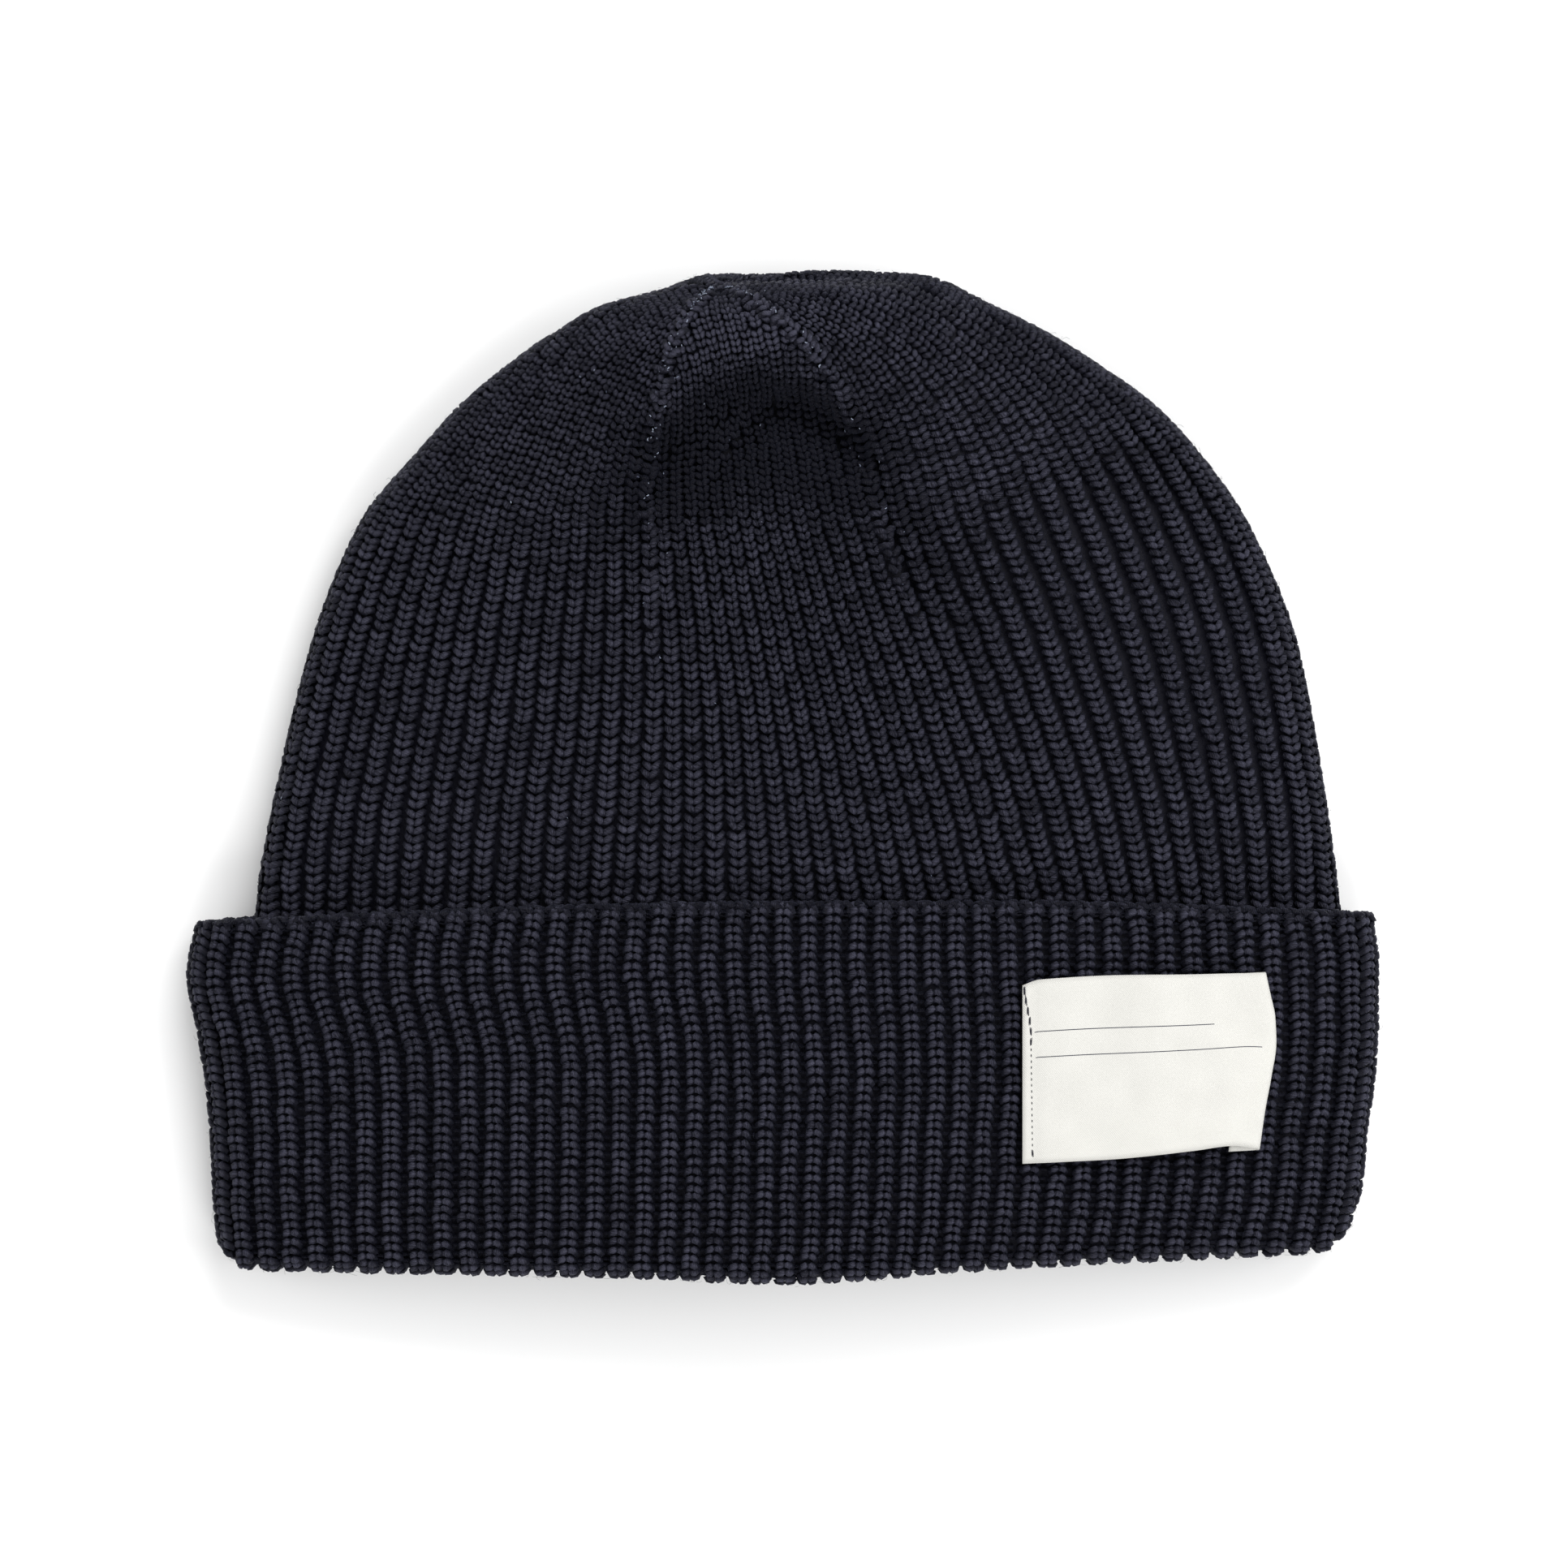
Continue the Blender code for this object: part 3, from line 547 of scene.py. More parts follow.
def new_object(name, data):
    made = bpy.data.objects.new(name, data)
    bpy.context.scene.collection.objects.link(made)
    return made


def add(tree, kind, sockets=(), **settings):
    """Adds a node: settings are its own, and sockets maps its inputs to values, outputs or nodes."""
    made = tree.nodes.new(kind)
    for name, value in settings.items():
        setattr(made, name, value)
    for key, value in dict(sockets).items():
        if isinstance(value, bpy.types.Node):
            value = value.outputs[0]
        if isinstance(value, bpy.types.NodeSocket):
            tree.links.new(value, made.inputs[key])
        else:
            made.inputs[key].default_value = value
    return made


def leg_of_yarn(tree, leg, yarn, thickness):
    """One leg as a tapered tube, which keeps how far along its plies each point lies."""
    start, end = Vector(leg.start), Vector(leg.end)
    axis = Vector((end.x - start.x, end.y - start.y, 0)).normalized()
    ply_way = axis + PLY_LEAN * Vector((-axis.y, axis.x, 0))
    line = add(tree, "GeometryNodeCurveQuadraticBezier", {
        "Resolution": yarn.steps - 1, "Start": leg.start, "Middle": leg.bend, "End": leg.end})
    along = add(tree, "GeometryNodeSplineParameter")
    rest = add(tree, "ShaderNodeMath", {0: 1.0, 1: along}, operation="SUBTRACT")
    bulge = add(tree, "ShaderNodeMath", {0: along, 1: rest}, operation="MULTIPLY")
    swell = add(tree, "ShaderNodeMath", {
        0: bulge, 1: 4 * yarn.taper, 2: YARN_FULL - yarn.taper}, operation="MULTIPLY_ADD")
    shaped = add(tree, "GeometryNodeSetCurveRadius", {"Curve": line, "Radius": swell})
    radius = add(tree, "ShaderNodeMath", {0: thickness, 1: 0.5}, operation="MULTIPLY")
    ring = add(tree, "GeometryNodeCurvePrimitiveCircle", {"Resolution": yarn.sides, "Radius": radius})
    tube = add(tree, "GeometryNodeCurveToMesh", {"Curve": shaped, "Profile Curve": ring, "Fill Caps": True})
    place = add(tree, "GeometryNodeInputPosition")
    ply = add(tree, "ShaderNodeVectorMath", {0: place, 1: ply_way}, operation="DOT_PRODUCT")
    high = add(tree, "ShaderNodeSeparateXYZ", {0: place})
    kept = tube
    for name, value in (("ply", ply.outputs["Value"]), ("high", high.outputs["Z"])):
        kept = add(tree, "GeometryNodeStoreNamedAttribute", {
            "Geometry": kept, "Name": name, "Value": value}, data_type="FLOAT", domain="POINT")
    return kept.outputs[0]


# A kind of stitch: its nodes, its yarn's thickness and its width as drawn
Kind = namedtuple("Kind", "tree thick width")
TREE_SIZES = ("Yarn thickness", "Drawn width", "Drawn row", "Sway")


def stitch_kind(name, legs, yarn, material, width=STITCH_WIDTH):
    """Nodes that put a stitch at each point, turned to its column and fitted to its width."""
    tree = bpy.data.node_groups.new(name, "GeometryNodeTree")
    tree.interface.new_socket("Places", in_out="INPUT", socket_type="NodeSocketGeometry")
    for label in TREE_SIZES:
        tree.interface.new_socket(label, in_out="INPUT", socket_type="NodeSocketFloat")
    tree.interface.new_socket("Seed", in_out="INPUT", socket_type="NodeSocketInt")
    tree.interface.new_socket("Knitting", in_out="OUTPUT", socket_type="NodeSocketGeometry")
    given = add(tree, "NodeGroupInput").outputs
    parts = [leg_of_yarn(tree, leg, yarn, given["Yarn thickness"]) for leg in legs]
    stitch = add(tree, "GeometryNodeJoinGeometry")
    for part in parts:
        tree.links.new(part, stitch.inputs[0])
    read_here = {
        key: add(tree, "GeometryNodeInputNamedAttribute", {"Name": key}, data_type=kind).outputs["Attribute"]
        for key, kind in (("out", "FLOAT_VECTOR"), ("along", "FLOAT_VECTOR"), ("wide", "FLOAT"),
                          ("tall", "FLOAT"), ("thick", "FLOAT"))}
    facing = add(tree, "FunctionNodeAxesToRotation", {
        "Primary Axis": read_here["out"], "Secondary Axis": read_here["along"]},
        primary_axis="Z", secondary_axis="Y")
    less = add(tree, "ShaderNodeMath", {0: given["Sway"], 1: -1.0}, operation="MULTIPLY")
    low, high = [
        add(tree, "ShaderNodeCombineXYZ", {0: limit, 1: limit, 2: limit}) for limit in (less, given["Sway"])]
    sway = add(tree, "FunctionNodeRandomValue", {0: low, 1: high, "Seed": given["Seed"]},
               data_type="FLOAT_VECTOR")
    turn = add(tree, "FunctionNodeEulerToRotation", {0: sway})
    swayed = add(tree, "FunctionNodeRotateRotation", {0: facing, 1: turn}, rotation_space="LOCAL")
    wide = add(tree, "ShaderNodeMath", {0: read_here["wide"], 1: given["Drawn width"]}, operation="DIVIDE")
    tall = add(tree, "ShaderNodeMath", {0: read_here["tall"], 1: given["Drawn row"]}, operation="DIVIDE")
    size = add(tree, "ShaderNodeCombineXYZ", {0: wide, 1: tall, 2: read_here["thick"]})
    placed = add(tree, "GeometryNodeInstanceOnPoints", {
        "Points": given["Places"], "Instance": stitch, "Rotation": swayed, "Scale": size})
    real = add(tree, "GeometryNodeRealizeInstances", {0: placed})
    smooth = add(tree, "GeometryNodeSetShadeSmooth", {0: real})
    dressed = add(tree, "GeometryNodeSetMaterial", {0: smooth, "Material": material})
    add(tree, "NodeGroupOutput", {0: dressed})
    return Kind(tree, yarn.thick, width)


def set_inputs(modifier, values):
    """Sets named inputs of a Geometry Nodes modifier by their sockets' identifiers."""
    for item in modifier.node_group.interface.items_tree:
        if item.in_out == "INPUT" and item.name in values:
            modifier[item.identifier] = values[item.name]


# How the knitting varies from stitch to stitch
WANDER = 0.00009  # a stitch lies this far off its place
WAVES = (0.0061, 0.0137, 0.0290)  # ribs wander to and fro in waves of these lengths,
WAVE_DEPTH = 0.00008  # each by this much
PLUMPNESS = 0.08  # how much stitches differ in thickness
SWAY = 0.12  # radians that a stitch leans
FLAT_FACING = 0.65  # the wall counts as level where its normal rises more than this
UPRIGHT_FLATTER = 0.40  # stitches that stand upright are this much flatter
UPRIGHT_RAISED = 0.00035
UPRIGHT_LONGER = 0.18
CREST_SINK = 0.00045  # middle of a stitch's yarn below the solid's surface

# Tones of the wool, where more is lighter: the middle, how stitches and ribs differ from it,
# and what each part of the cap adds or takes away, with painted shade in the dents and on the purl loops
TONE_MIDDLE = 0.25
TONE_STITCH = 0.13
TONE_RIB = 0.05
RIB_DRAWS = 4 * COLUMNS  # tones drawn, of which the ribs use the first
DENT_PAINTED_SHADE = 250.0  # painted shade: wool in a dent is darkened by this for each metre of depth, for the shadow that falls there
PLAIN_DARKER = 0.16
SEAM_TONE = 0.08
CUFF_TONE = 0.16
# painted shade: purl loops lie down in the cuff's valleys and are darkened for the shade there
PURL_PAINTED_SHADE = -0.12
CHAIN_TONE = -0.25

# Seeds: of where stitches lie and how wide they are, and of how a piece's stitches lean
PLACE_SEEDS = {
    "gores": 100, "seams": 120, "cuff": 200, "purl": 210, "chain": 220, "fibres": 300, "sizes": 340,
    "lint": 360, "loose": 361}
LEAN_SEEDS = {
    "gores": 10, "plain": 16, "seams": 20, "gathers": 21, "cuff": 30, "purl": 33, "chain": 34,
    "sewing": 50, "fibres": 60, "lint": 66}


def knit(name, kind, stitches, wide, tone, seed, sway=SWAY, depth=0.0, thick=1.0):
    """Turns places of stitches into one mesh of yarn, pressed flat where it would go under the floor."""
    count = len(stitches.pitch)
    mesh = bpy.data.meshes.new(name)
    mesh.vertices.add(count)
    mesh.vertices.foreach_set("co", (stitches.place - np.reshape(depth, (-1, 1)) * stitches.out).ravel())
    plump = thick * np.random.default_rng(seed).normal(1, PLUMPNESS, count)
    for key, values in (("along", stitches.along), ("out", stitches.out)):
        mesh.attributes.new(key, "FLOAT_VECTOR", "POINT").data.foreach_set("vector", values.ravel())
    for key, values in (("wide", wide), ("tall", stitches.length), ("tone", tone), ("thick", plump)):
        mesh.attributes.new(key, "FLOAT", "POINT").data.foreach_set("value", values)
    holder = new_object(name + "_places", mesh)
    modifier = holder.modifiers.new("Knitting", "NODES")
    modifier.node_group = kind.tree
    set_inputs(modifier, {
        "Yarn thickness": kind.thick, "Drawn width": kind.width, "Drawn row": ROW_PITCH, "Sway": sway,
        "Seed": seed})
    made = bpy.data.meshes.new_from_object(holder.evaluated_get(bpy.context.evaluated_depsgraph_get()))
    bpy.data.objects.remove(holder, do_unlink=True)
    bpy.data.meshes.remove(mesh)
    for key in ("along", "out", "wide", "tall", "thick"):
        if key in made.attributes:
            made.attributes.remove(made.attributes[key])
    made.name = name
    place = np.empty(len(made.vertices) * 3, np.float32)
    made.vertices.foreach_get("co", place)
    place[2::3] = np.maximum(place[2::3], 0.0)
    made.vertices.foreach_set("co", place)
    made.update()
    return new_object(name, made)


def knit_wool(name, kind, stitches, wide, tone, seed, sway=SWAY, sink=CREST_SINK, which=slice(None)):
    """Stitches of the wall itself, which lie flatter where it stands upright round the outline."""
    own = pick(stitches, which)
    upright = 1 - smooth_step(0.0, FLAT_FACING, np.abs(own.out[:, 2]))
    own = own._replace(length=own.length * (1 + UPRIGHT_LONGER * upright))
    return knit(name, kind, own, wide[which], tone[which], seed, sway, sink - UPRIGHT_RAISED * upright,
                1 - UPRIGHT_FLATTER * upright)


def varied(stitches, seed, spread=1.0):
    """The same stitches, each a little off its place, with a tone for each."""
    rng = np.random.default_rng(seed)
    count = len(stitches.pitch)
    side = np.cross(stitches.along, stitches.out)
    off = rng.normal(0, WANDER * spread, (count, 2))
    rib = np.round(stitches.column).astype(int) % COLUMNS
    for length in WAVES:
        for axis in (0, 1):
            phase = rng.uniform(0, 2 * pi, COLUMNS)[rib]
            off[:, axis] += WAVE_DEPTH * spread * np.sin(2 * pi * stitches.way / length + phase)
    place = stitches.place + off[:, :1] * side + off[:, 1:] * stitches.along
    ribs = rng.normal(0, TONE_RIB, RIB_DRAWS)
    tone = TONE_MIDDLE + rng.normal(0, TONE_STITCH, count) + ribs[rib]
    return stitches._replace(place=place), tone, rng


# Crown
RIB_PITCHES = (0.0028, 0.0037, 0.0046)  # a stitch's width goes with its column's pitch
RIB_WIDTHS = (0.00260, 0.00338, 0.00396)
RIB_SPREAD = 0.035  # and differs by this share from stitch to stitch
PLAIN_SHARE = 1.16  # but in plain knitting it fills this share of the pitch
PLAIN_MIX = 0.16  # rib and plain stitches mix a little where one turns into the other
SEAM_WIDTH = 0.0036  # of a seam's stitches near the tip
SEAM_SPAN = (0.0046, 0.0030)  # they get so wide between these pitches of its column
SEAM_SPREAD = 0.06
SEAM_WANDER = 1.6  # times as far off their places as a gore's stitches
SEAM_END = 0.004  # the seams' ribs end where a gore is this narrow
GATHER_SWAY = 0.45  # near the tip the seams' stitches are crumpled, and stand up by this
GATHER_RAISED = 0.0008
GATHER_SPREAD = 0.12


def rib_width(crown, stitches):
    """How wide each stitch of the crown is, in a rib or in plain knitting."""
    rib = np.minimum(np.interp(stitches.pitch, RIB_PITCHES, RIB_WIDTHS), stitches.pitch)
    return rib + (PLAIN_SHARE * stitches.pitch - rib) * plainness(*in_plan(crown, stitches.place))


def crown_pieces(crown, wool, ribbed):
    """Stitches of the six gores and of the ribs that run on along their seams."""
    even = stitch_kind("Plain crown knitting", PLAIN_LEGS, PLAIN_YARN, wool)
    behind = stitch_kind("Crown knitting behind", CROWN_LEGS, BACK_YARN, wool)
    widths = gore_widths(crown)
    lines = crown_lines(crown, widths)
    pieces = []
    for gore in range(GORES):
        ordinary = lines[gore * RIBS_PER_GORE + 1:(gore + 1) * RIBS_PER_GORE]
        own = lay_stitches(crown, ordinary, tighter=ROW_TIGHTER)
        placed, tone, rng = varied(own, PLACE_SEEDS["gores"] + gore)
        wide = rib_width(crown, own) * rng.normal(1, RIB_SPREAD, len(tone))
        name = f"crown_gore_{gore + 1}"
        seed = LEAN_SEEDS["gores"] + gore
        if gore >= GORES // 2:
            pieces.append(knit_wool(name, behind, placed, wide, tone, seed))
            continue
        plain = plainness(*in_plan(crown, own.place))
        # Painted shade in the dents, darker the deeper they are
        tone -= DENT_PAINTED_SHADE * dented(*in_plan(crown, own.place)) + PLAIN_DARKER * plain
        flat = plain + rng.normal(0, PLAIN_MIX, len(tone)) > 0.5
        pieces.append(knit_wool(name, ribbed, placed, wide, tone, seed, which=~flat))
        pieces.append(knit_wool(
            name + "_plain", even, placed, wide, tone, LEAN_SEEDS["plain"] + gore, which=flat))
    seams = []
    for line, width in zip(lines[::RIBS_PER_GORE], widths):
        rows = line.rows[width > SEAM_END]
        seams.append(Line(line.column[rows], line.squeeze[rows], rows, line.gore))
    own = lay_stitches(crown, seams, tighter=ROW_TIGHTER)
    placed, tone, rng = varied(own, PLACE_SEEDS["seams"], SEAM_WANDER)
    # Painted shade in the dents, as on the gores
    tone += SEAM_TONE - DENT_PAINTED_SHADE * dented(*in_plan(crown, own.place))
    free = rib_width(crown, own)
    narrow = smooth_step(*SEAM_SPAN, own.pitch)
    wide = (free + (SEAM_WIDTH - free) * narrow) * rng.normal(1, SEAM_SPREAD, len(tone))
    pulled = (narrow > 0.5) & (own.gore > 0) & (own.gore < GORES // 2)
    wide[pulled] *= rng.normal(1, GATHER_SPREAD, pulled.sum())
    pieces.append(knit_wool(
        "crown_seam_ribs", ribbed, placed, wide, tone, LEAN_SEEDS["seams"], which=~pulled))
    pieces.append(knit_wool(
        "crown_seam_gathers", ribbed, placed, wide, tone, LEAN_SEEDS["gathers"], GATHER_SWAY,
        CREST_SINK - GATHER_RAISED, pulled))
    return pieces


# Cuff
CUFF_SPREAD = 0.04  # stitches differ in width by this share
CUFF_STITCH_SHARE = 0.72  # share of a cuff rib's pitch that its stitches fill
EDGE_WIDER = 0.14  # and this much more of it at its free edge and its hem,
EDGE_BAND = 0.0065  # within this of the free edge
HEM_BAND = 0.0075  # and of the hem
PURL_SHARE = 0.42
PURL_SPREAD = 0.05
PURL_SINK = 0.00195  # purl loops lie this far below the crests
CHAIN_STEP = 0.75  # columns from one bound-off stitch to the next
CHAIN_ROW = 2.1  # they lie at this row of the cuff's points
CHAIN_WIDTH = 0.0027
CHAIN_SPREAD = 0.10
CHAIN_WANDER = 2.2  # times as far off their places as other stitches
CHAIN_SWAY = 0.35
COLUMN_WIDTH = 0.0024  # about one column along the cuff's free edge


def cuff_reach(cuff):
    """Length of knitting from the cuff's free edge to just past the hem's fold."""
    rows = len(EDGE_ANGLES) + CUFF_STEPS + HEM_STEPS - 1
    path = cuff.points[:rows, HALF_TURN // 2 * FINE]
    return float(np.linalg.norm(np.diff(path, axis=0), axis=1).sum())


def edge_chain(cuff):
    """Bound-off stitches lying one after another along the cuff's free edge."""
    columns = np.arange(0, COLUMNS, CHAIN_STEP)
    rows = np.full(len(columns), CHAIN_ROW)
    around = read(cuff.points, columns + 0.5, rows) - read(cuff.points, columns - 0.5, rows)
    chain = free_stitches(
        read(cuff.points, columns, rows), unit(around), unit(read(cuff.normals, columns, rows)), CHAIN_WIDTH,
        CHAIN_STEP * np.linalg.norm(around, axis=1))
    return chain._replace(column=columns, way=columns * COLUMN_WIDTH)


def cuff_pieces(cuff, wool, painted_shade_wool, bound_off):
    """Stitches of the cuff, its hem and the wall inside, its purl loops and its bound-off edge."""
    arches = stitch_kind("Cuff knitting", CUFF_LEGS, CUFF_YARN, wool)
    behind = stitch_kind("Cuff knitting behind", CUFF_LEGS, BACK_YARN, wool)
    purl = stitch_kind("Purl loops", PURL_LEGS, PURL_YARN, painted_shade_wool, PURL_WIDTH)
    lines = cuff_lines(cuff)
    reach = cuff_reach(cuff)
    every = lay_stitches(cuff, lines)
    every = pick(every, every.way < reach + INSIDE_REACH)
    outside = every.way < reach
    front = every.column <= HALF_TURN
    groups = (("cuff_front", outside & front, arches), ("cuff_back", outside & ~front, behind),
              ("inside_rows", ~outside, behind))
    pieces = []
    for k, (name, which, kind) in enumerate(groups):
        own = pick(every, which)
        placed, tone, rng = varied(own, PLACE_SEEDS["cuff"] + k)
        near_edge = smooth_step(EDGE_BAND, 0, own.way)
        near_hem = smooth_step(HEM_BAND, 0, np.abs(own.way - reach + HEM_RADIUS * pi / 2))
        share = CUFF_STITCH_SHARE + EDGE_WIDER * np.maximum(near_edge, near_hem)
        wide = share * own.pitch * rng.normal(1, CUFF_SPREAD, len(tone))
        pieces.append(knit_wool(name, kind, placed, wide, tone + CUFF_TONE, LEAN_SEEDS["cuff"] + k))
    valleys = [line._replace(column=line.column + 1) for line in lines[:RIBS // 2]]
    own = lay_stitches(cuff, valleys, reach - HEM_RADIUS)
    placed, tone, rng = varied(own, PLACE_SEEDS["purl"])
    wide = PURL_SHARE * own.pitch * rng.normal(1, PURL_SPREAD, len(tone))
    # Purl loops in the painted shade wool, darkened further as painted shade
    pieces.append(knit(
        "cuff_purl_loops", purl, placed, wide, tone + PURL_PAINTED_SHADE, LEAN_SEEDS["purl"], depth=PURL_SINK))
    chain = edge_chain(cuff)
    placed, tone, rng = varied(chain, PLACE_SEEDS["chain"], CHAIN_WANDER)
    wide = chain.pitch * rng.normal(1, CHAIN_SPREAD, len(tone))
    pieces.append(knit_wool(
        "cuff_edge_chain", bound_off, placed, wide, tone + CHAIN_TONE, LEAN_SEEDS["chain"], CHAIN_SWAY))
    return pieces


# Fluff: loose fibre ends of the wool, drawn about twice as thick as real ones so that they show
FIBRE_YARN = Yarn(0.00005, 3, 4, 0.30)
FIBRE_WIDTH = 0.0034
FIBRES = (  # curl, hook and nearly straight
    (Leg((-0.0012, -0.0003, 0.0), (0.0003, 0.0014, 0.0007), (0.0011, -0.0005, 0.0002)),),
    (Leg((0.0, 0.0, -0.0003), (0.0004, 0.0008, 0.0012), (0.0016, 0.0006, 0.0006)),),
    (Leg((-0.0017, 0.0, 0.0), (-0.0004, 0.0006, 0.0005), (0.0018, 0.0002, 0.0001)),),
)
LYING_FIBRES = 300  # of each shape, over the front
EDGE_FIBRES = 170  # of each shape, standing off the outline
CROWN_FIBRES = 0.62  # share of them on the crown, and on the cuff the rest
CUFF_FIBRES = 0.38
FIBRE_SIZES = (0.45, 1.0)
FIBRE_TONES = (0.3, 0.9)
FIBRE_SWAY = 0.35
FIBRE_RAISED = 0.00012
EDGE_FACING = 0.45  # an outline fibre grows where the wall faces up or down less than this
EDGE_DRAWS = 14  # places drawn for each, because most face otherwise
EDGE_COLUMNS = 10  # columns past the side folds where they may grow
CROWN_ENDS = (4, 8)  # fluff keeps this many rows of points from the crown's ends
CUFF_START = 3  # and from the cuff's free edge

# Lint: short ends of undyed cotton, most of them caught in the two front seams
LINT_LEG = (Leg((-0.00022, 0.0, 0.0), (0.0, 0.00010, 0.00020), (0.00022, -0.00005, 0.0)),)
LINT_YARN = Yarn(0.00020, 4, 4, 0.40)
LINT_WIDTH = 0.0010
LINT_ON_SEAMS = 120
LINT_LEFT = 0.64  # share of it on the left seam
LINT_ASIDE = 1.1  # columns that it strays from its seam
LINT_FROM_ROW = 36  # it starts at this row of the crown's points,
LINT_FROM_END = 12  # ends this many short of the last,
LINT_CROWDING = 0.45  # and crowds towards the tip, the more the lower this is
LINT_UPWARD = (0, 1.2, 0)  # its ends point every way, but rather up the cap
LINT_LOOSE = 26
LINT_RAISED = 0.00022
LINT_SIZES = (0.45, 1.2)
LINT_SWAY = 0.3
LINT_PRESSED = 0.8  # flattened to this share of its thickness


def crown_span(crown):
    return CROWN_ENDS[0], crown.points.shape[0] - CROWN_ENDS[1]


def fibre_places(surface, rows, count, seed, edge=False):
    """Random places over the front of a surface, or round its outline."""
    rng = np.random.default_rng(seed)
    drawn = count * (EDGE_DRAWS if edge else 1)
    past = EDGE_COLUMNS if edge else 0
    column = rng.uniform(-past, HALF_TURN + past, drawn)
    row = rng.uniform(rows[0], rows[1], drawn)
    out = unit(read(surface.normals, column, row))
    if edge:
        facing = np.abs(out[:, 2]) < EDGE_FACING
        column, row, out = column[facing][:count], row[facing][:count], out[facing][:count]
    place = read(surface.points, column, row)
    along = along_wall(unit(rng.normal(0, 1, (len(column), 3))), out)
    return free_stitches(place, out, along) if edge else free_stitches(place, along, out)


def fluff_pieces(crown, cuff, wool):
    """Loose fibres over the front and round the outline."""
    places = (
        (crown, crown_span(crown), CROWN_FIBRES),
        (cuff, (CUFF_START, len(EDGE_ANGLES) + CUFF_STEPS + HEM_STEPS // 2), CUFF_FIBRES))
    pieces = []
    for k, legs in enumerate(FIBRES):
        kind = stitch_kind(f"Fibres {k + 1}", legs, FIBRE_YARN, wool, FIBRE_WIDTH)
        parts = []
        for m, (surface, rows, share) in enumerate(places):
            seed = PLACE_SEEDS["fibres"] + 10 * k + 2 * m
            parts.append(fibre_places(surface, rows, int(LYING_FIBRES * share), seed))
            parts.append(fibre_places(surface, rows, int(EDGE_FIBRES * share), seed + 1, True))
        every = join(parts)
        rng = np.random.default_rng(PLACE_SEEDS["sizes"] + k)
        size = rng.uniform(*FIBRE_SIZES, len(every.pitch))
        tone = rng.uniform(*FIBRE_TONES, len(every.pitch))
        pieces.append(knit(
            f"fluff_{k + 1}", kind, every._replace(length=every.length * size), FIBRE_WIDTH * size, tone,
            LEAN_SEEDS["fibres"] + k, FIBRE_SWAY, -FIBRE_RAISED))
    return pieces


def seam_lint(crown, pale):
    """Pale lint along the two front seams, and a few ends of it elsewhere on the crown."""
    kind = stitch_kind("Lint", LINT_LEG, LINT_YARN, pale, LINT_WIDTH)
    rng = np.random.default_rng(PLACE_SEEDS["lint"])
    on_left = rng.uniform(0, 1, LINT_ON_SEAMS) < LINT_LEFT
    seams = np.where(on_left, 2 * SEAM_FROM_FOLD, 2 * (SEAM_FROM_FOLD + RIBS_PER_GORE))
    seams = seams + rng.normal(0, LINT_ASIDE, LINT_ON_SEAMS)
    upper = crown.points.shape[0] - LINT_FROM_END
    rows = LINT_FROM_ROW + (upper - LINT_FROM_ROW) * rng.uniform(0, 1, LINT_ON_SEAMS) ** LINT_CROWDING
    loose = fibre_places(crown, crown_span(crown), LINT_LOOSE, PLACE_SEEDS["loose"])
    out = unit(read(crown.normals, seams, rows))
    along = along_wall(unit(rng.normal(0, 1, (LINT_ON_SEAMS, 3)) + np.array(LINT_UPWARD)), out)
    every = join([free_stitches(read(crown.points, seams, rows), np.cross(along, out), out), loose])
    total = len(every.pitch)
    size = rng.uniform(*LINT_SIZES, total)
    raised = np.where(np.arange(total) < LINT_ON_SEAMS, LINT_RAISED + GATHER_RAISED, LINT_RAISED)
    return knit(
        "seam_lint", kind, every._replace(length=every.length * size), LINT_WIDTH * size,
        rng.uniform(0, 1, total), LEAN_SEEDS["lint"], LINT_SWAY, -raised, LINT_PRESSED)


def linear(hex_colour):
    """An sRGB hex colour as linear red, green, blue and alpha."""
    parts = [int(hex_colour[k:k + 2], 16) / 255 for k in (1, 3, 5)]
    return (*[c / 12.92 if c <= 0.04045 else ((c + 0.055) / 1.055) ** 2.4 for c in parts], 1.0)


def new_material(name, values):
    """A material with one Principled shader, whose constant values are set on its own sockets."""
    material = bpy.data.materials.new(name)
    material.use_nodes = True
    shader = material.node_tree.nodes["Principled BSDF"]
    for socket, value in values.items():
        shader.inputs[socket].default_value = value
    return material, material.node_tree, shader


# Wool: its light and dark patches, its fibres, and the painted light and shade that make its yarn lighter at
# the crest than on the flanks
HEATHER_PATCH = 1 / 260  # metres, which is 3.8 mm
HEATHER_SHARE = 0.55
FIBRE_GRAIN = 1 / 900  # 1.1 mm, fibres drawn far thicker than real ones so that they show
FIBRE_DRAW = 3.5  # fibres look this many times longer than they are thick
FIBRE_SHARE = 3.6
DARKEST_SHADE = 1.80
LIGHTEST_SHADE = 2.98
FLANK_HIGH = -0.0001  # heights in a stitch where its painted shade is darkest and its painted light brightest
CREST_HIGH = 0.0009
FLANK_PAINTED_LIGHT = 0.06  # share of the crest's painted light that the flanks keep, the rest being painted shade
PLY_RELIEF = 0.20
YARN_RELIEF = 0.00026


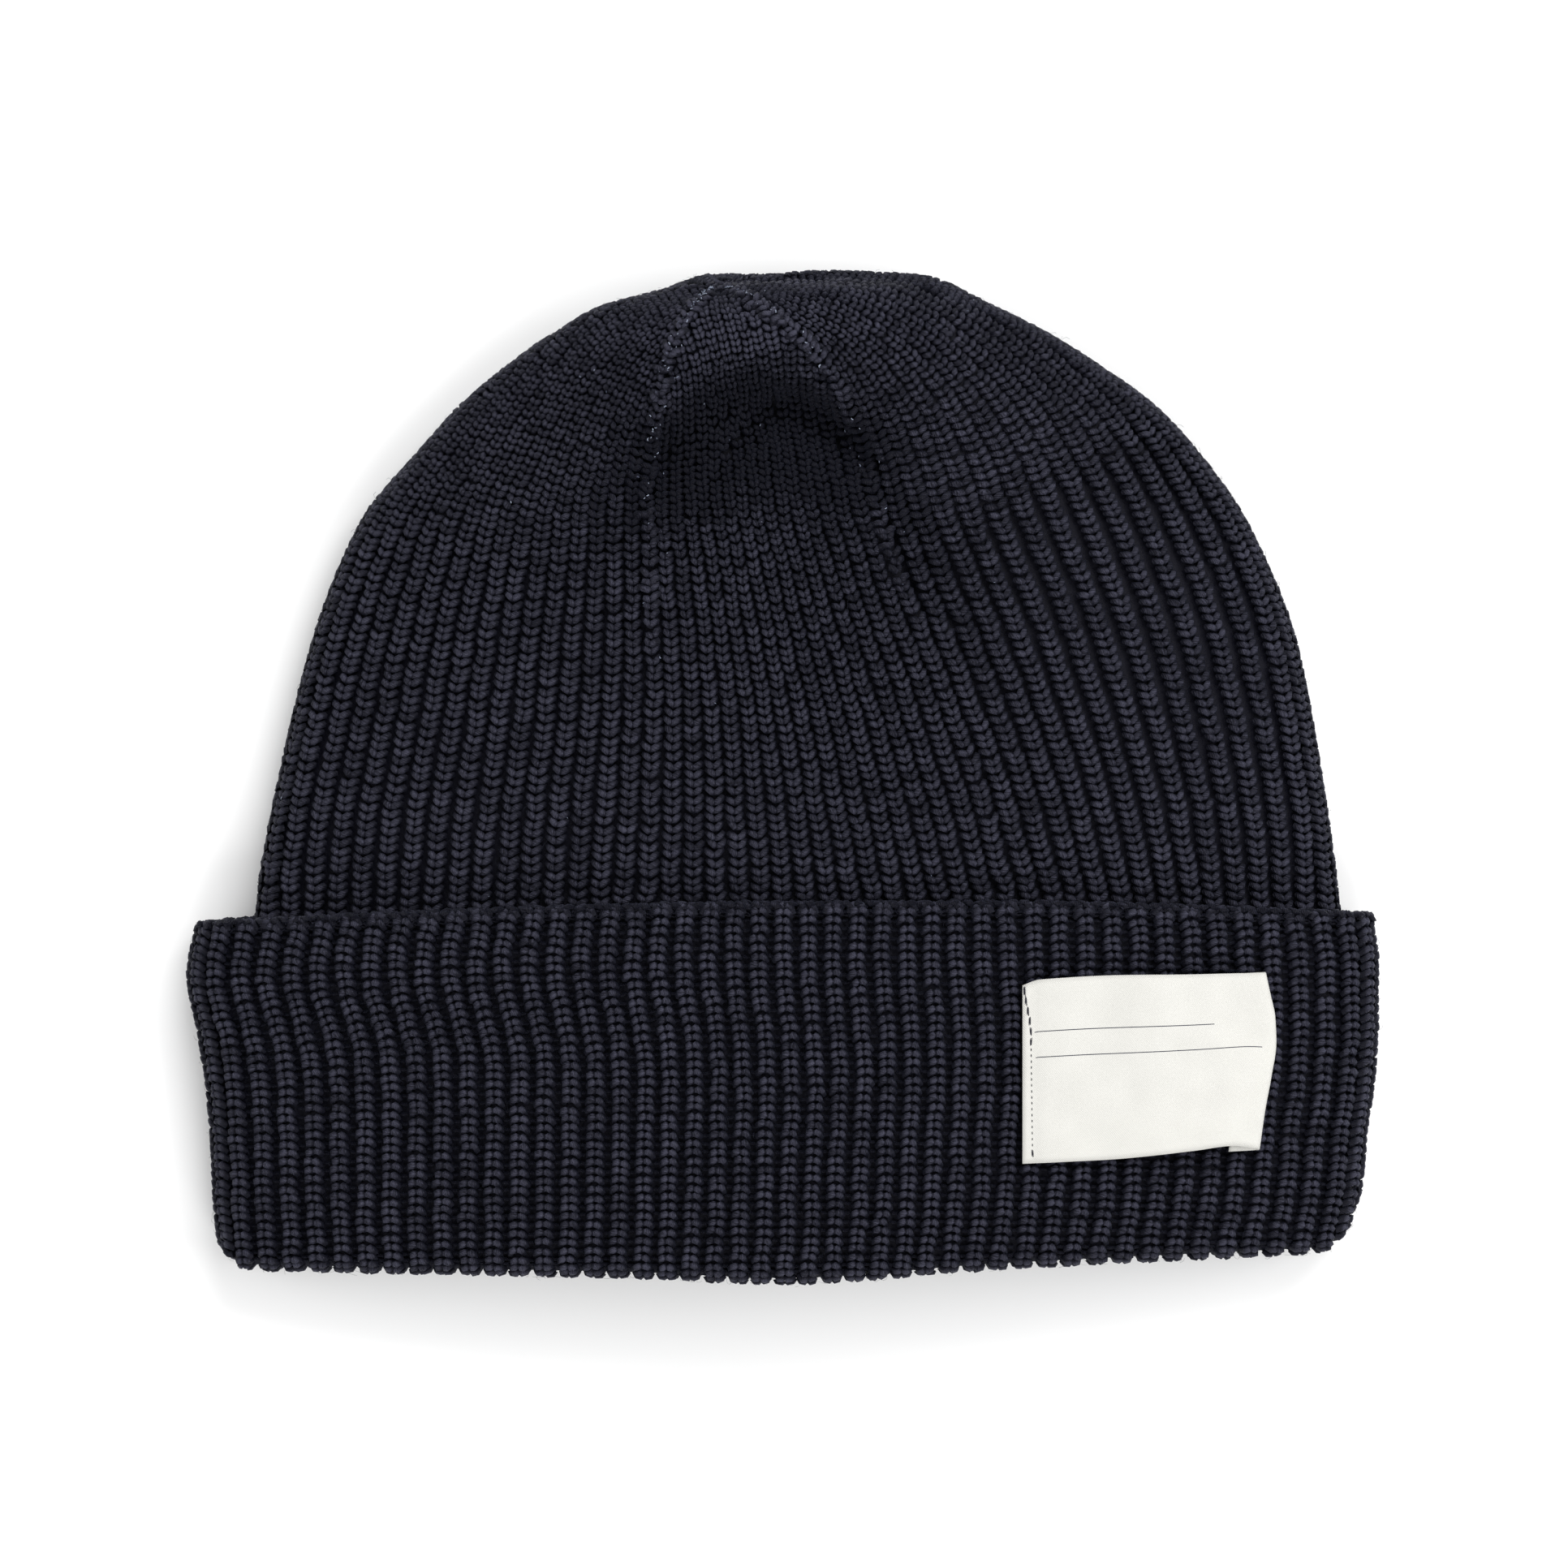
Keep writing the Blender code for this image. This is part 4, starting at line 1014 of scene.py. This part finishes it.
def worsted_wool(name, dark_side, light_side):
    """Navy worsted wool, spun in plies and knitted: matt and dark, with a pale bloom of fibre ends and
    painted shade on its yarns' flanks.
    """
    material, tree, shader = new_material(name, {
        "Roughness": 0.60, "IOR": 1.55, "Specular IOR Level": 0.12, "Sheen Weight": 0.05,
        "Sheen Roughness": 0.40, "Sheen Tint": linear("#A4B0D0")})
    where = add(tree, "ShaderNodeTexCoord").outputs["Object"]
    tone, ply, high = [
        add(tree, "ShaderNodeAttribute", attribute_name=key).outputs["Fac"]
        for key in ("tone", "ply", "high")]
    heather = add(tree, "ShaderNodeTexNoise", {"Vector": where, "Scale": 1 / HEATHER_PATCH, "Detail": 2.0})
    across = add(tree, "ShaderNodeCombineXYZ", {0: ply})
    drawn_out = add(tree, "ShaderNodeVectorMath", {
        0: across, 1: (FIBRE_DRAW, 0, 0), 2: where}, operation="MULTIPLY_ADD")
    fibre = add(tree, "ShaderNodeTexNoise", {
        "Vector": drawn_out, "Scale": 1 / FIBRE_GRAIN, "Detail": 4.0, "Roughness": 0.70})
    shade = add(tree, "ShaderNodeMath", {0: heather, 1: HEATHER_SHARE, 2: tone}, operation="MULTIPLY_ADD")
    shade = add(tree, "ShaderNodeMath", {0: fibre, 1: FIBRE_SHARE, 2: shade}, operation="MULTIPLY_ADD")
    light = add(tree, "ShaderNodeMapRange", {
        "Value": shade, "From Min": DARKEST_SHADE, "From Max": LIGHTEST_SHADE})
    # Painted light and shade: each yarn's crest lighter and its flanks darker, by height in the stitch
    painted_crest_light = add(tree, "ShaderNodeMapRange", {
        "Value": high, "From Min": FLANK_HIGH, "From Max": CREST_HIGH, "To Min": FLANK_PAINTED_LIGHT, "To Max": 1.0})
    light = add(tree, "ShaderNodeMath", {0: light, 1: painted_crest_light}, operation="MULTIPLY")
    colour = add(tree, "ShaderNodeMix", {
        "Factor": light, 6: linear(dark_side), 7: linear(light_side)}, data_type="RGBA")
    tree.links.new(colour.outputs[2], shader.inputs["Base Color"])
    turns = add(tree, "ShaderNodeMath", {0: ply, 1: 2 * pi / PLY_SPACING}, operation="MULTIPLY")
    plies = add(tree, "ShaderNodeMath", {0: turns}, operation="SINE")
    height = add(tree, "ShaderNodeMath", {0: plies, 1: PLY_RELIEF, 2: fibre}, operation="MULTIPLY_ADD")
    bump = add(tree, "ShaderNodeBump", {"Height": height, "Strength": 1.0, "Distance": YARN_RELIEF})
    tree.links.new(bump.outputs["Normal"], shader.inputs["Normal"])
    return material


def pale_lint():
    """Undyed cotton lint caught in the wool: pale grey blue and matt."""
    material, tree, shader = new_material("pale_cotton_lint", {"Roughness": 0.9, "Specular IOR Level": 0.2})
    tone = add(tree, "ShaderNodeAttribute", attribute_name="tone").outputs["Fac"]
    ramp = add(tree, "ShaderNodeValToRGB", {0: tone})
    for element, colour in zip(ramp.color_ramp.elements, ("#3F4454", "#8F97A8")):
        element.color = linear(colour)
    tree.links.new(ramp.outputs["Color"], shader.inputs["Base Color"])
    return material


# The ground is the wall behind the stitches: its crests lie in the stitches and its
# valleys between the ribs, where little light reaches. Its darker wool is painted shade for those valleys
GROUND_SINK = 0.00135  # crests of the ground below the solid's own
VALLEY_SINK = 0.00135  # valleys below the crests, where the ribs stand apart
DENT_SINK = 0.0013  # and the ground in the dents below its place elsewhere
DENT_SPAN = (0.0004, 0.0016)  # it sinks so between these depths of the dents
INSIDE_SINK = 0.00070
FOLD_FILL = 0.40  # round the outline the ground lies only this share as deep
FOLD_FACING = 0.15  # where the wall faces up or down less than this
PLAIN_TONE = 0.5  # the ground is lighter by this where the knitting is plain, with less painted valley shade
GROUND_STEP = 3  # rows of points between two rings of the ground
STEEP_ROWS = (82, 122)  # but every row is kept between these, where the dents are steep
LINING_START = 3  # the lining's first and last rows of the crown's points
LINING_END = 108
LINING_STEP = 6
LINING_DENT = 2  # the lining sinks this many times further in the dents


def ring_mesh(name, rings, tones, material):
    """Closed mesh over rings of as many points each, whose two ends are drawn together."""
    count = rings.shape[1]
    vertices = np.concatenate([rings.reshape(-1, 3), [rings[0].mean(axis=0), rings[-1].mean(axis=0)]])
    first, last = len(vertices) - 2, len(vertices) - 1
    index = np.arange(count)
    after = (index + 1) % count
    faces = []
    for upper in range(0, first - count, count):
        lower = upper + count
        faces += np.stack([upper + index, lower + index, lower + after, upper + after], axis=1).tolist()
    end = first - count
    faces += np.stack([np.full(count, first), index, after], axis=1).tolist()
    faces += np.stack([np.full(count, last), end + after, end + index], axis=1).tolist()
    mesh = bpy.data.meshes.new(name)
    mesh.from_pydata(vertices.tolist(), [], faces)
    bm = bmesh.new()
    bm.from_mesh(mesh)
    bmesh.ops.recalc_face_normals(bm, faces=bm.faces)
    bm.to_mesh(mesh)
    bm.free()
    mesh.shade_smooth()
    tone = np.concatenate([tones.ravel(), [tones[0].mean(), tones[-1].mean()]])
    mesh.attributes.new("tone", "FLOAT", "POINT").data.foreach_set("value", tone)
    mesh.materials.append(material)
    return new_object(name, mesh)


def ground(crown, cuff, material):
    """The knitted wall itself, crown to hem and back up inside, under the stitches."""
    every = slice(0, None, FINE)
    columns = np.arange(COLUMNS)
    valley = (columns % 2).astype(float)[:, None]
    plan = in_plan(crown, crown.points[:, every])
    plain = plainness(*plan)[..., None]
    in_dent = (smooth_step(*DENT_SPAN, dented(*plan)) * (columns <= HALF_TURN))[..., None]

    def sunk(surface, rows, depth):
        return surface.points[rows][:, every] - depth * unit(surface.normals[rows][:, every])

    def fill(surface, rows, open_part=0.0):
        facing = np.abs(unit(surface.normals[rows][:, every])[..., 2:])
        return FOLD_FILL + (1 - FOLD_FILL) * smooth_step(
            FOLD_FACING, FLAT_FACING, np.maximum(facing, open_part))

    crown_rows = np.union1d(
        np.arange(crown.points.shape[0] - 1, 0, -GROUND_STEP), np.arange(*STEEP_ROWS))[::-1]
    cuff_rows = np.arange(0, cuff.points.shape[0], GROUND_STEP)
    lining_rows = np.union1d(
        np.arange(LINING_START, LINING_END, LINING_STEP), np.arange(STEEP_ROWS[0] + 1, LINING_END, 2))
    depth = GROUND_SINK + DENT_SINK * in_dent[crown_rows]
    depth = depth + VALLEY_SINK * (1 - plain[crown_rows]) * valley
    over = sunk(crown, crown_rows, fill(crown, crown_rows, in_dent[crown_rows]) * depth)
    cuff_rings = sunk(cuff, cuff_rows, fill(cuff, cuff_rows) * (GROUND_SINK + VALLEY_SINK * valley))
    lining = sunk(
        crown, lining_rows, WALL - INSIDE_SINK + LINING_DENT * DENT_SINK * in_dent[lining_rows])
    tones = np.concatenate([
        PLAIN_TONE * plain[crown_rows, :, 0], np.zeros((len(cuff_rows), COLUMNS)),
        np.full((len(lining_rows), COLUMNS), PLAIN_TONE)])
    return ring_mesh("knit_ground", np.concatenate([over, cuff_rings, lining]), tones, material)


def build_cap():
    """The whole cap, shifted to lie where its solid does. Gives the cuff's surface."""
    rings = crown_rings()
    provisional = cuff_surface(rings, 0)
    points = np.concatenate([rings.reshape(-1, 3), provisional.points.reshape(-1, 3)])
    low, high = (np.array(corner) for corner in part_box("knit_cap"))
    shift = (points.min(axis=0) + points.max(axis=0)) / 2 - (low + high) / 2
    shift[2] = 0.0
    crown = crown_surface(rings, shift)
    cuff = cuff_surface(rings, shift)
    wool = worsted_wool("navy_worsted_wool", "#090914", "#474757")
    # Darker wool for the ground and the purl loops, painted shade for the valleys between the ribs
    painted_shade_wool = worsted_wool("navy_wool_painted_valley_shade", "#050512", "#15151F")
    loose_wool = worsted_wool("loose_navy_wool", "#15161F", "#2C2E3B")
    ribbed = stitch_kind("Crown knitting", CROWN_LEGS, CROWN_YARN, wool)
    pieces = crown_pieces(crown, wool, ribbed) + cuff_pieces(cuff, wool, painted_shade_wool, ribbed)
    pieces += fluff_pieces(crown, cuff, loose_wool)
    pieces.append(seam_lint(crown, pale_lint()))
    under = ground(crown, cuff, painted_shade_wool)
    pieces.append(under)
    for piece in pieces:
        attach(piece, "root")
    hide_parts("knit_cap")
    return cuff


# Label: a woven cotton tape, sewn down at its left end, with its right end turned under
LABEL_LENGTH = 0.0490  # sewn end to the fold, as seen
LABEL_WIDTH = 0.0350
LABEL_THICK = 0.00045  # of the tape itself
LABEL_TURN_UNDER = 0.0052  # length folded back underneath
LABEL_LEFT = 0.405  # sewn end, as a share of HALF_CUFF
LABEL_MIDDLE = 0.549  # half-way up the sewn end, as a share of CUFF_HEIGHT
LABEL_OFFSET = (-0.0008, 0.0005)  # it lies this far from the solid's place for it
LABEL_SLANT = radians(2.5)  # its far end is turned up by this much
LABEL_CLEAR = 0.00075  # middle of the tape over the cuff's crests, at its sewn end
LABEL_LIFT = 0.0022  # how much higher it lies over its turned-under end
LIFT_SPAN = (0.02, 0.62)  # and where it rises, as shares of its length
LABEL_STATIONS = 29  # across its width
LABEL_STEPS = 48  # along its top
TURN_ANGLES = (60, 30, 0, -30, -60, -90)  # degrees round its fold, from above to below
TURN_STEPS = 6  # along its turned-under end
LABEL_WAVE = 0.00005  # depth of its waves, and their radians over its length and its width
WAVES_ALONG = 9
WAVES_ACROSS = 4
SEAM_PUFF = 0.0005  # the tape puffs up this much beside its sewing line
PUFF_RISES = (0.03, 0.09)  # rising between these shares of its length
PUFF_FALLS = (0.34, 0.12)  # and falling back between these
LabelEdge = namedtuple("LabelEdge", "along top bottom")
LABEL_EDGES = (  # how far its long edges leave a straight line, metres
    LabelEdge(0.00, -0.0003, -0.0003),
    LabelEdge(0.07, 0.0007, -0.0003),
    LabelEdge(0.30, 0.0009, -0.0003),
    LabelEdge(0.70, 0.0003, 0.0006),
    LabelEdge(0.88, 0.0001, 0.0012),
    LabelEdge(1.00, -0.0001, 0.0003),
)
LabelFold = namedtuple("LabelFold", "up reach")
LABEL_FOLDS = (  # how far the turned end reaches past the straight line, bottom to top
    LabelFold(0.00, -0.0022),
    LabelFold(0.22, -0.0011),
    LabelFold(0.42, 0.0002),
    LabelFold(0.60, 0.0011),
    LabelFold(0.74, 0.0009),
    LabelFold(0.88, -0.0001),
    LabelFold(1.00, -0.0010),
)

# Its ruled lines: how far down from its top, where along it each starts and ends, and its slope
RuledLine = namedtuple("RuledLine", "down start end slope")
RULED_LINES = (RuledLine(0.0099, 0.05, 0.768, -0.0002), RuledLine(0.0148, 0.055, 0.955, -0.0002))
RULE_WIDTH = 0.00018
WARP_SPACING = 0.00042  # threads along the tape, drawn twice as coarse as real ones so that they show
WEFT_SPACING = 0.00050
SLUB_SIZE = 1 / 900  # 1.1 mm, lumps of its threads
SLUB_SHARE = 1.2
WEAVE_RELIEF = 0.00006
CLOTH_PATCH = 1 / 120  # 8.3 mm, its slightly lighter and darker places

# Its sewing line
THREAD_LEG = (Leg((-0.00050, 0.0, -0.00014), (0.0, 0.0, 0.00020), (0.00050, 0.0, -0.00014)),)
THREAD_YARN = Yarn(0.00021, 6, 6, 0.0)
THREAD_GRAIN = 1 / 3000  # 0.33 mm
THREAD_WIDTH = 0.0010  # of one stitch of it as drawn here
THREAD_SWAY = 0.08
THREAD_RAISED = 0.00002  # over the tape
SEWN_START = 0.0002  # the line starts this far below the tape's top
SEWN_ASIDE = 0.0003  # its distance from the tape's end
SEWN_LEAN = 0.0012  # it leans to the right by this, top to bottom
SEWN_LEAN_SHARE = 0.28  # within this share of the width, from the top
SEWN_DRIFT = 0.0005  # and by this much more over the whole width
FINE_PITCH = 0.00115  # of the thread's stitches down the middle of the line
FINE_SHARE = 0.62  # share of it that the thread covers
BOLD_PITCH = 0.00205  # and near its ends, where the thread lies doubled
BOLD_SHARE = 0.92
BOLD_TOP = 0.0105
BOLD_BOTTOM = 0.0040
DOUBLED = 0.00010  # each of the doubled threads lies this far aside


def cuff_heights(cuff, x, y):
    """Height of the cuff's crests over places in plan, on its front."""
    first = len(EDGE_ANGLES)
    front = cuff.points[first:first + CUFF_STEPS, :HALF_TURN * FINE + 1][::-1]
    ys, zs = [np.array([np.interp(x, row[:, 0], row[:, axis]) for row in front]) for axis in (1, 2)]
    return np.array([np.interp(y[k], ys[:, k], zs[:, k]) for k in range(len(x))])


def label_places(cuff, along, up, under=False):
    """Places over the cuff for shares of the label's length and of its width."""
    edges = np.array(LABEL_EDGES)
    folds = np.array(LABEL_FOLDS)
    top, bottom = [smooth_curve(edges[:, 0], edges[:, k], along) for k in (1, 2)]
    reach = smooth_curve(folds[:, 0], folds[:, 1], up)
    aside = LABEL_WIDTH * (up - 0.5)
    if not under:
        aside = aside + top * up + bottom * (1 - up)
    far = along * LABEL_LENGTH + reach * smooth_step(0.5, 1.0, along)
    x = LABEL_LEFT * HALF_CUFF + far * cos(LABEL_SLANT) + LABEL_OFFSET[0] - cuff.shift[0]
    y = LABEL_MIDDLE * CUFF_HEIGHT + aside + far * sin(LABEL_SLANT) + LABEL_OFFSET[1] - cuff.shift[1]
    return x, y, cuff_heights(cuff, x, y)


def label_path():
    """Shares of the tape's length along its top, round its fold and back, how high, and whether under."""
    radius = LABEL_LIFT / 2
    straight_end = 1 - radius / LABEL_LENGTH
    for share in np.linspace(0, straight_end, LABEL_STEPS):
        yield share, LABEL_LIFT * smooth_step(*LIFT_SPAN, share), False
    for angle in np.radians(TURN_ANGLES):
        yield straight_end + radius / LABEL_LENGTH * cos(angle), radius * (1 + sin(angle)), angle < 0
    for k in range(1, TURN_STEPS + 1):
        yield straight_end - LABEL_TURN_UNDER / LABEL_LENGTH * k / TURN_STEPS, 0.0, True


def label_tape(cuff, material):
    """The tape as a thin sheet: along its top, round its fold and back underneath."""
    up = np.linspace(0, 1, LABEL_STATIONS)
    rows = []
    for share, height, under in label_path():
        x, y, low = label_places(cuff, np.full(LABEL_STATIONS, share), up, under)
        waves = np.sin(WAVES_ALONG * share + WAVES_ACROSS * up)
        wave = LABEL_WAVE * waves * smooth_step(*LIFT_SPAN, share)
        puff = SEAM_PUFF * smooth_step(*PUFF_RISES, share) * smooth_step(*PUFF_FALLS, share)
        rows.append(np.stack([x, y, low + LABEL_CLEAR + height + wave + puff], axis=1))
    grid = np.array(rows)
    flats = np.concatenate([[0], np.cumsum(np.linalg.norm(np.diff(grid, axis=0), axis=2).mean(axis=1))])
    faces = []
    for k in range(len(grid) - 1):
        for a in range(k * LABEL_STATIONS, (k + 1) * LABEL_STATIONS - 1):
            faces.append((a, a + LABEL_STATIONS, a + LABEL_STATIONS + 1, a + 1))
    mesh = bpy.data.meshes.new("label_tape")
    mesh.from_pydata(grid.reshape(-1, 3).tolist(), [], faces)
    spots = np.array([loop.vertex_index for loop in mesh.loops])
    u = flats[spots // LABEL_STATIONS]
    v = (spots % LABEL_STATIONS) / (LABEL_STATIONS - 1) * LABEL_WIDTH
    mesh.uv_layers.new(name="tape").data.foreach_set("uv", np.stack([u, v], axis=1).ravel())
    mesh.materials.append(material)
    mesh.shade_smooth()
    tape = new_object("label_tape", mesh)
    wall = tape.modifiers.new("Thickness", "SOLIDIFY")
    wall.thickness = LABEL_THICK
    wall.offset = 0.0
    return tape, float(flats[-1])


def cotton_tape():
    """Bleached cotton tape in a fine plain weave: matt, warm white, its threads just showing."""
    material, tree, shader = new_material("off_white_cotton_tape", {
        "Roughness": 0.85, "IOR": 1.53, "Specular IOR Level": 0.25})
    where = add(tree, "ShaderNodeUVMap", uv_map="tape")
    along, across, _ = add(tree, "ShaderNodeSeparateXYZ", {0: where}).outputs
    waves = []
    for part, spacing in ((along, WARP_SPACING), (across, WEFT_SPACING)):
        turns = add(tree, "ShaderNodeMath", {0: part, 1: 2 * pi / spacing}, operation="MULTIPLY")
        waves.append(add(tree, "ShaderNodeMath", {0: turns}, operation="SINE"))
    weave = add(tree, "ShaderNodeMath", {0: waves[0], 1: waves[1]}, operation="MULTIPLY")
    slub = add(tree, "ShaderNodeTexNoise", {"Vector": where, "Scale": 1 / SLUB_SIZE, "Detail": 2.0})
    relief = add(tree, "ShaderNodeMath", {0: slub, 1: SLUB_SHARE, 2: weave}, operation="MULTIPLY_ADD")
    bump = add(tree, "ShaderNodeBump", {"Height": relief, "Strength": 0.55, "Distance": WEAVE_RELIEF})
    tree.links.new(bump.outputs["Normal"], shader.inputs["Normal"])
    broad = add(tree, "ShaderNodeTexNoise", {"Vector": where, "Scale": 1 / CLOTH_PATCH, "Detail": 1.0})
    cloth = add(tree, "ShaderNodeValToRGB", {0: broad})
    for element, place, colour in zip(cloth.color_ramp.elements, (0.3, 0.7), ("#C4C3BE", "#C9C8C3")):
        element.position = place
        element.color = linear(colour)
    ink = 0.0
    for rule in RULED_LINES:
        level = add(tree, "ShaderNodeMath", {
            0: along, 1: rule.slope / LABEL_LENGTH, 2: LABEL_WIDTH - rule.down}, operation="MULTIPLY_ADD")
        off = add(tree, "ShaderNodeMath", {0: across, 1: level}, operation="SUBTRACT")
        near = add(tree, "ShaderNodeMath", {0: off, 1: 0.0, 2: RULE_WIDTH / 2}, operation="COMPARE")
        within = add(tree, "ShaderNodeMath", {
            0: along, 1: (rule.start + rule.end) / 2 * LABEL_LENGTH,
            2: (rule.end - rule.start) / 2 * LABEL_LENGTH}, operation="COMPARE")
        line = add(tree, "ShaderNodeMath", {0: near, 1: within}, operation="MULTIPLY")
        ink = add(tree, "ShaderNodeMath", {0: ink, 1: line}, operation="MAXIMUM")
    colour = add(tree, "ShaderNodeMix", {"Factor": ink, 6: cloth, 7: linear("#3A3B45")}, data_type="RGBA")
    tree.links.new(colour.outputs[2], shader.inputs["Base Color"])
    return material


def sewing_thread():
    """Dark spun polyester sewing thread: smooth, with a slight lustre."""
    material, tree, shader = new_material("navy_sewing_thread", {
        "Roughness": 0.5, "IOR": 1.55, "Specular IOR Level": 0.3})
    where = add(tree, "ShaderNodeTexCoord").outputs["Object"]
    grain = add(tree, "ShaderNodeTexNoise", {"Vector": where, "Scale": 1 / THREAD_GRAIN, "Detail": 2.0})
    ramp = add(tree, "ShaderNodeValToRGB", {0: grain})
    for element, colour in zip(ramp.color_ramp.elements, ("#101019", "#23232E")):
        element.color = linear(colour)
    tree.links.new(ramp.outputs["Color"], shader.inputs["Base Color"])
    return material


def label_thread(cuff, thread):
    """Stitches of the sewing line: fine down its middle, long and doubled near its ends."""
    places = []
    wide = []
    down = SEWN_START
    while down < LABEL_WIDTH - BOLD_PITCH:
        bold = down < BOLD_TOP or down > LABEL_WIDTH - BOLD_BOTTOM
        pitch = BOLD_PITCH if bold else FINE_PITCH
        up = 1 - (down + pitch / 2) / LABEL_WIDTH
        aside = SEWN_ASIDE + SEWN_LEAN * smooth_step(0, SEWN_LEAN_SHARE, 1 - up) + SEWN_DRIFT * (1 - up)
        x, y, z = label_places(cuff, np.array([aside / LABEL_LENGTH]), np.array([up]))
        high = z[0] + LABEL_CLEAR + LABEL_THICK / 2 + THREAD_RAISED
        for step in ((-DOUBLED, DOUBLED) if bold else (0.0,)):
            places.append((x[0] + step, y[0], high))
            wide.append((BOLD_SHARE if bold else FINE_SHARE) * pitch)
        down += pitch
    total = len(places)
    right, upwards = (np.tile(way, (total, 1)) for way in ((1.0, 0.0, 0.0), (0.0, 0.0, 1.0)))
    stitches = free_stitches(np.array(places), right, upwards, np.array(wide))
    kind = stitch_kind("Label sewing", THREAD_LEG, THREAD_YARN, thread, THREAD_WIDTH)
    return knit(
        "label_stitching", kind, stitches, stitches.pitch, np.zeros(total), LEAN_SEEDS["sewing"],
        THREAD_SWAY)


def build_label(cuff):
    tape, flat_length = label_tape(cuff, cotton_tape())
    stitching = label_thread(cuff, sewing_thread())
    for piece in (tape, stitching):
        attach(piece, "root")
    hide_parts("label")


# Studio: a pale floor, soft light from four sides and a camera straight above
FLOOR_HALF = 3.0
FLOOR_LEVEL = -0.0002
SKY_STRENGTH = 0.43
Lamp = namedtuple("Lamp", "name place width depth watts")
LAMPS = (
    Lamp("key_softbox", (0.50, 1.25, 1.30), 1.4, 1.0, 27.0),
    Lamp("left_softbox", (-1.40, 0.10, 1.10), 1.2, 1.2, 7.0),
    Lamp("right_softbox", (1.40, 0.00, 1.10), 1.2, 1.2, 15.0),
    Lamp("near_softbox", (0.15, -1.40, 1.10), 1.4, 1.2, 18.0),
)
CAMERA_PLACE = (0.0003, -0.0017, 1.7391)
CAMERA_LENS = 200.0


def pale_floor():
    corners = ((-1, -1), (1, -1), (1, 1), (-1, 1))
    mesh = bpy.data.meshes.new("floor")
    vertices = [(x * FLOOR_HALF, y * FLOOR_HALF, FLOOR_LEVEL) for x, y in corners]
    mesh.from_pydata(vertices, [], [(0, 1, 2, 3)])
    paper = {"Base Color": linear("#F6F6F6"), "Roughness": 0.9}
    mesh.materials.append(new_material("pale_paper", paper)[0])
    new_object("floor", mesh)


def studio():
    scene = bpy.context.scene
    scene.view_settings.view_transform = "Standard"
    world = bpy.data.worlds.new("studio_white")
    scene.world = world
    world.use_nodes = True
    sky = world.node_tree.nodes["Background"]
    sky.inputs["Color"].default_value = (1.0, 1.0, 1.0, 1.0)
    sky.inputs["Strength"].default_value = SKY_STRENGTH
    for lamp in LAMPS:
        light = bpy.data.lights.new(lamp.name, "AREA")
        light.shape = "RECTANGLE"
        light.size = lamp.width
        light.size_y = lamp.depth
        light.energy = lamp.watts
        holder = new_object(lamp.name, light)
        holder.location = lamp.place
        holder.rotation_euler = (-Vector(lamp.place)).to_track_quat("-Z", "Y").to_euler()
    view = bpy.data.cameras.new("overhead")
    view.lens = CAMERA_LENS
    view.sensor_width = 36.0
    view.clip_end = 20.0
    scene.camera = new_object("overhead", view)
    scene.camera.location = CAMERA_PLACE


build_label(build_cap())
pale_floor()
studio()
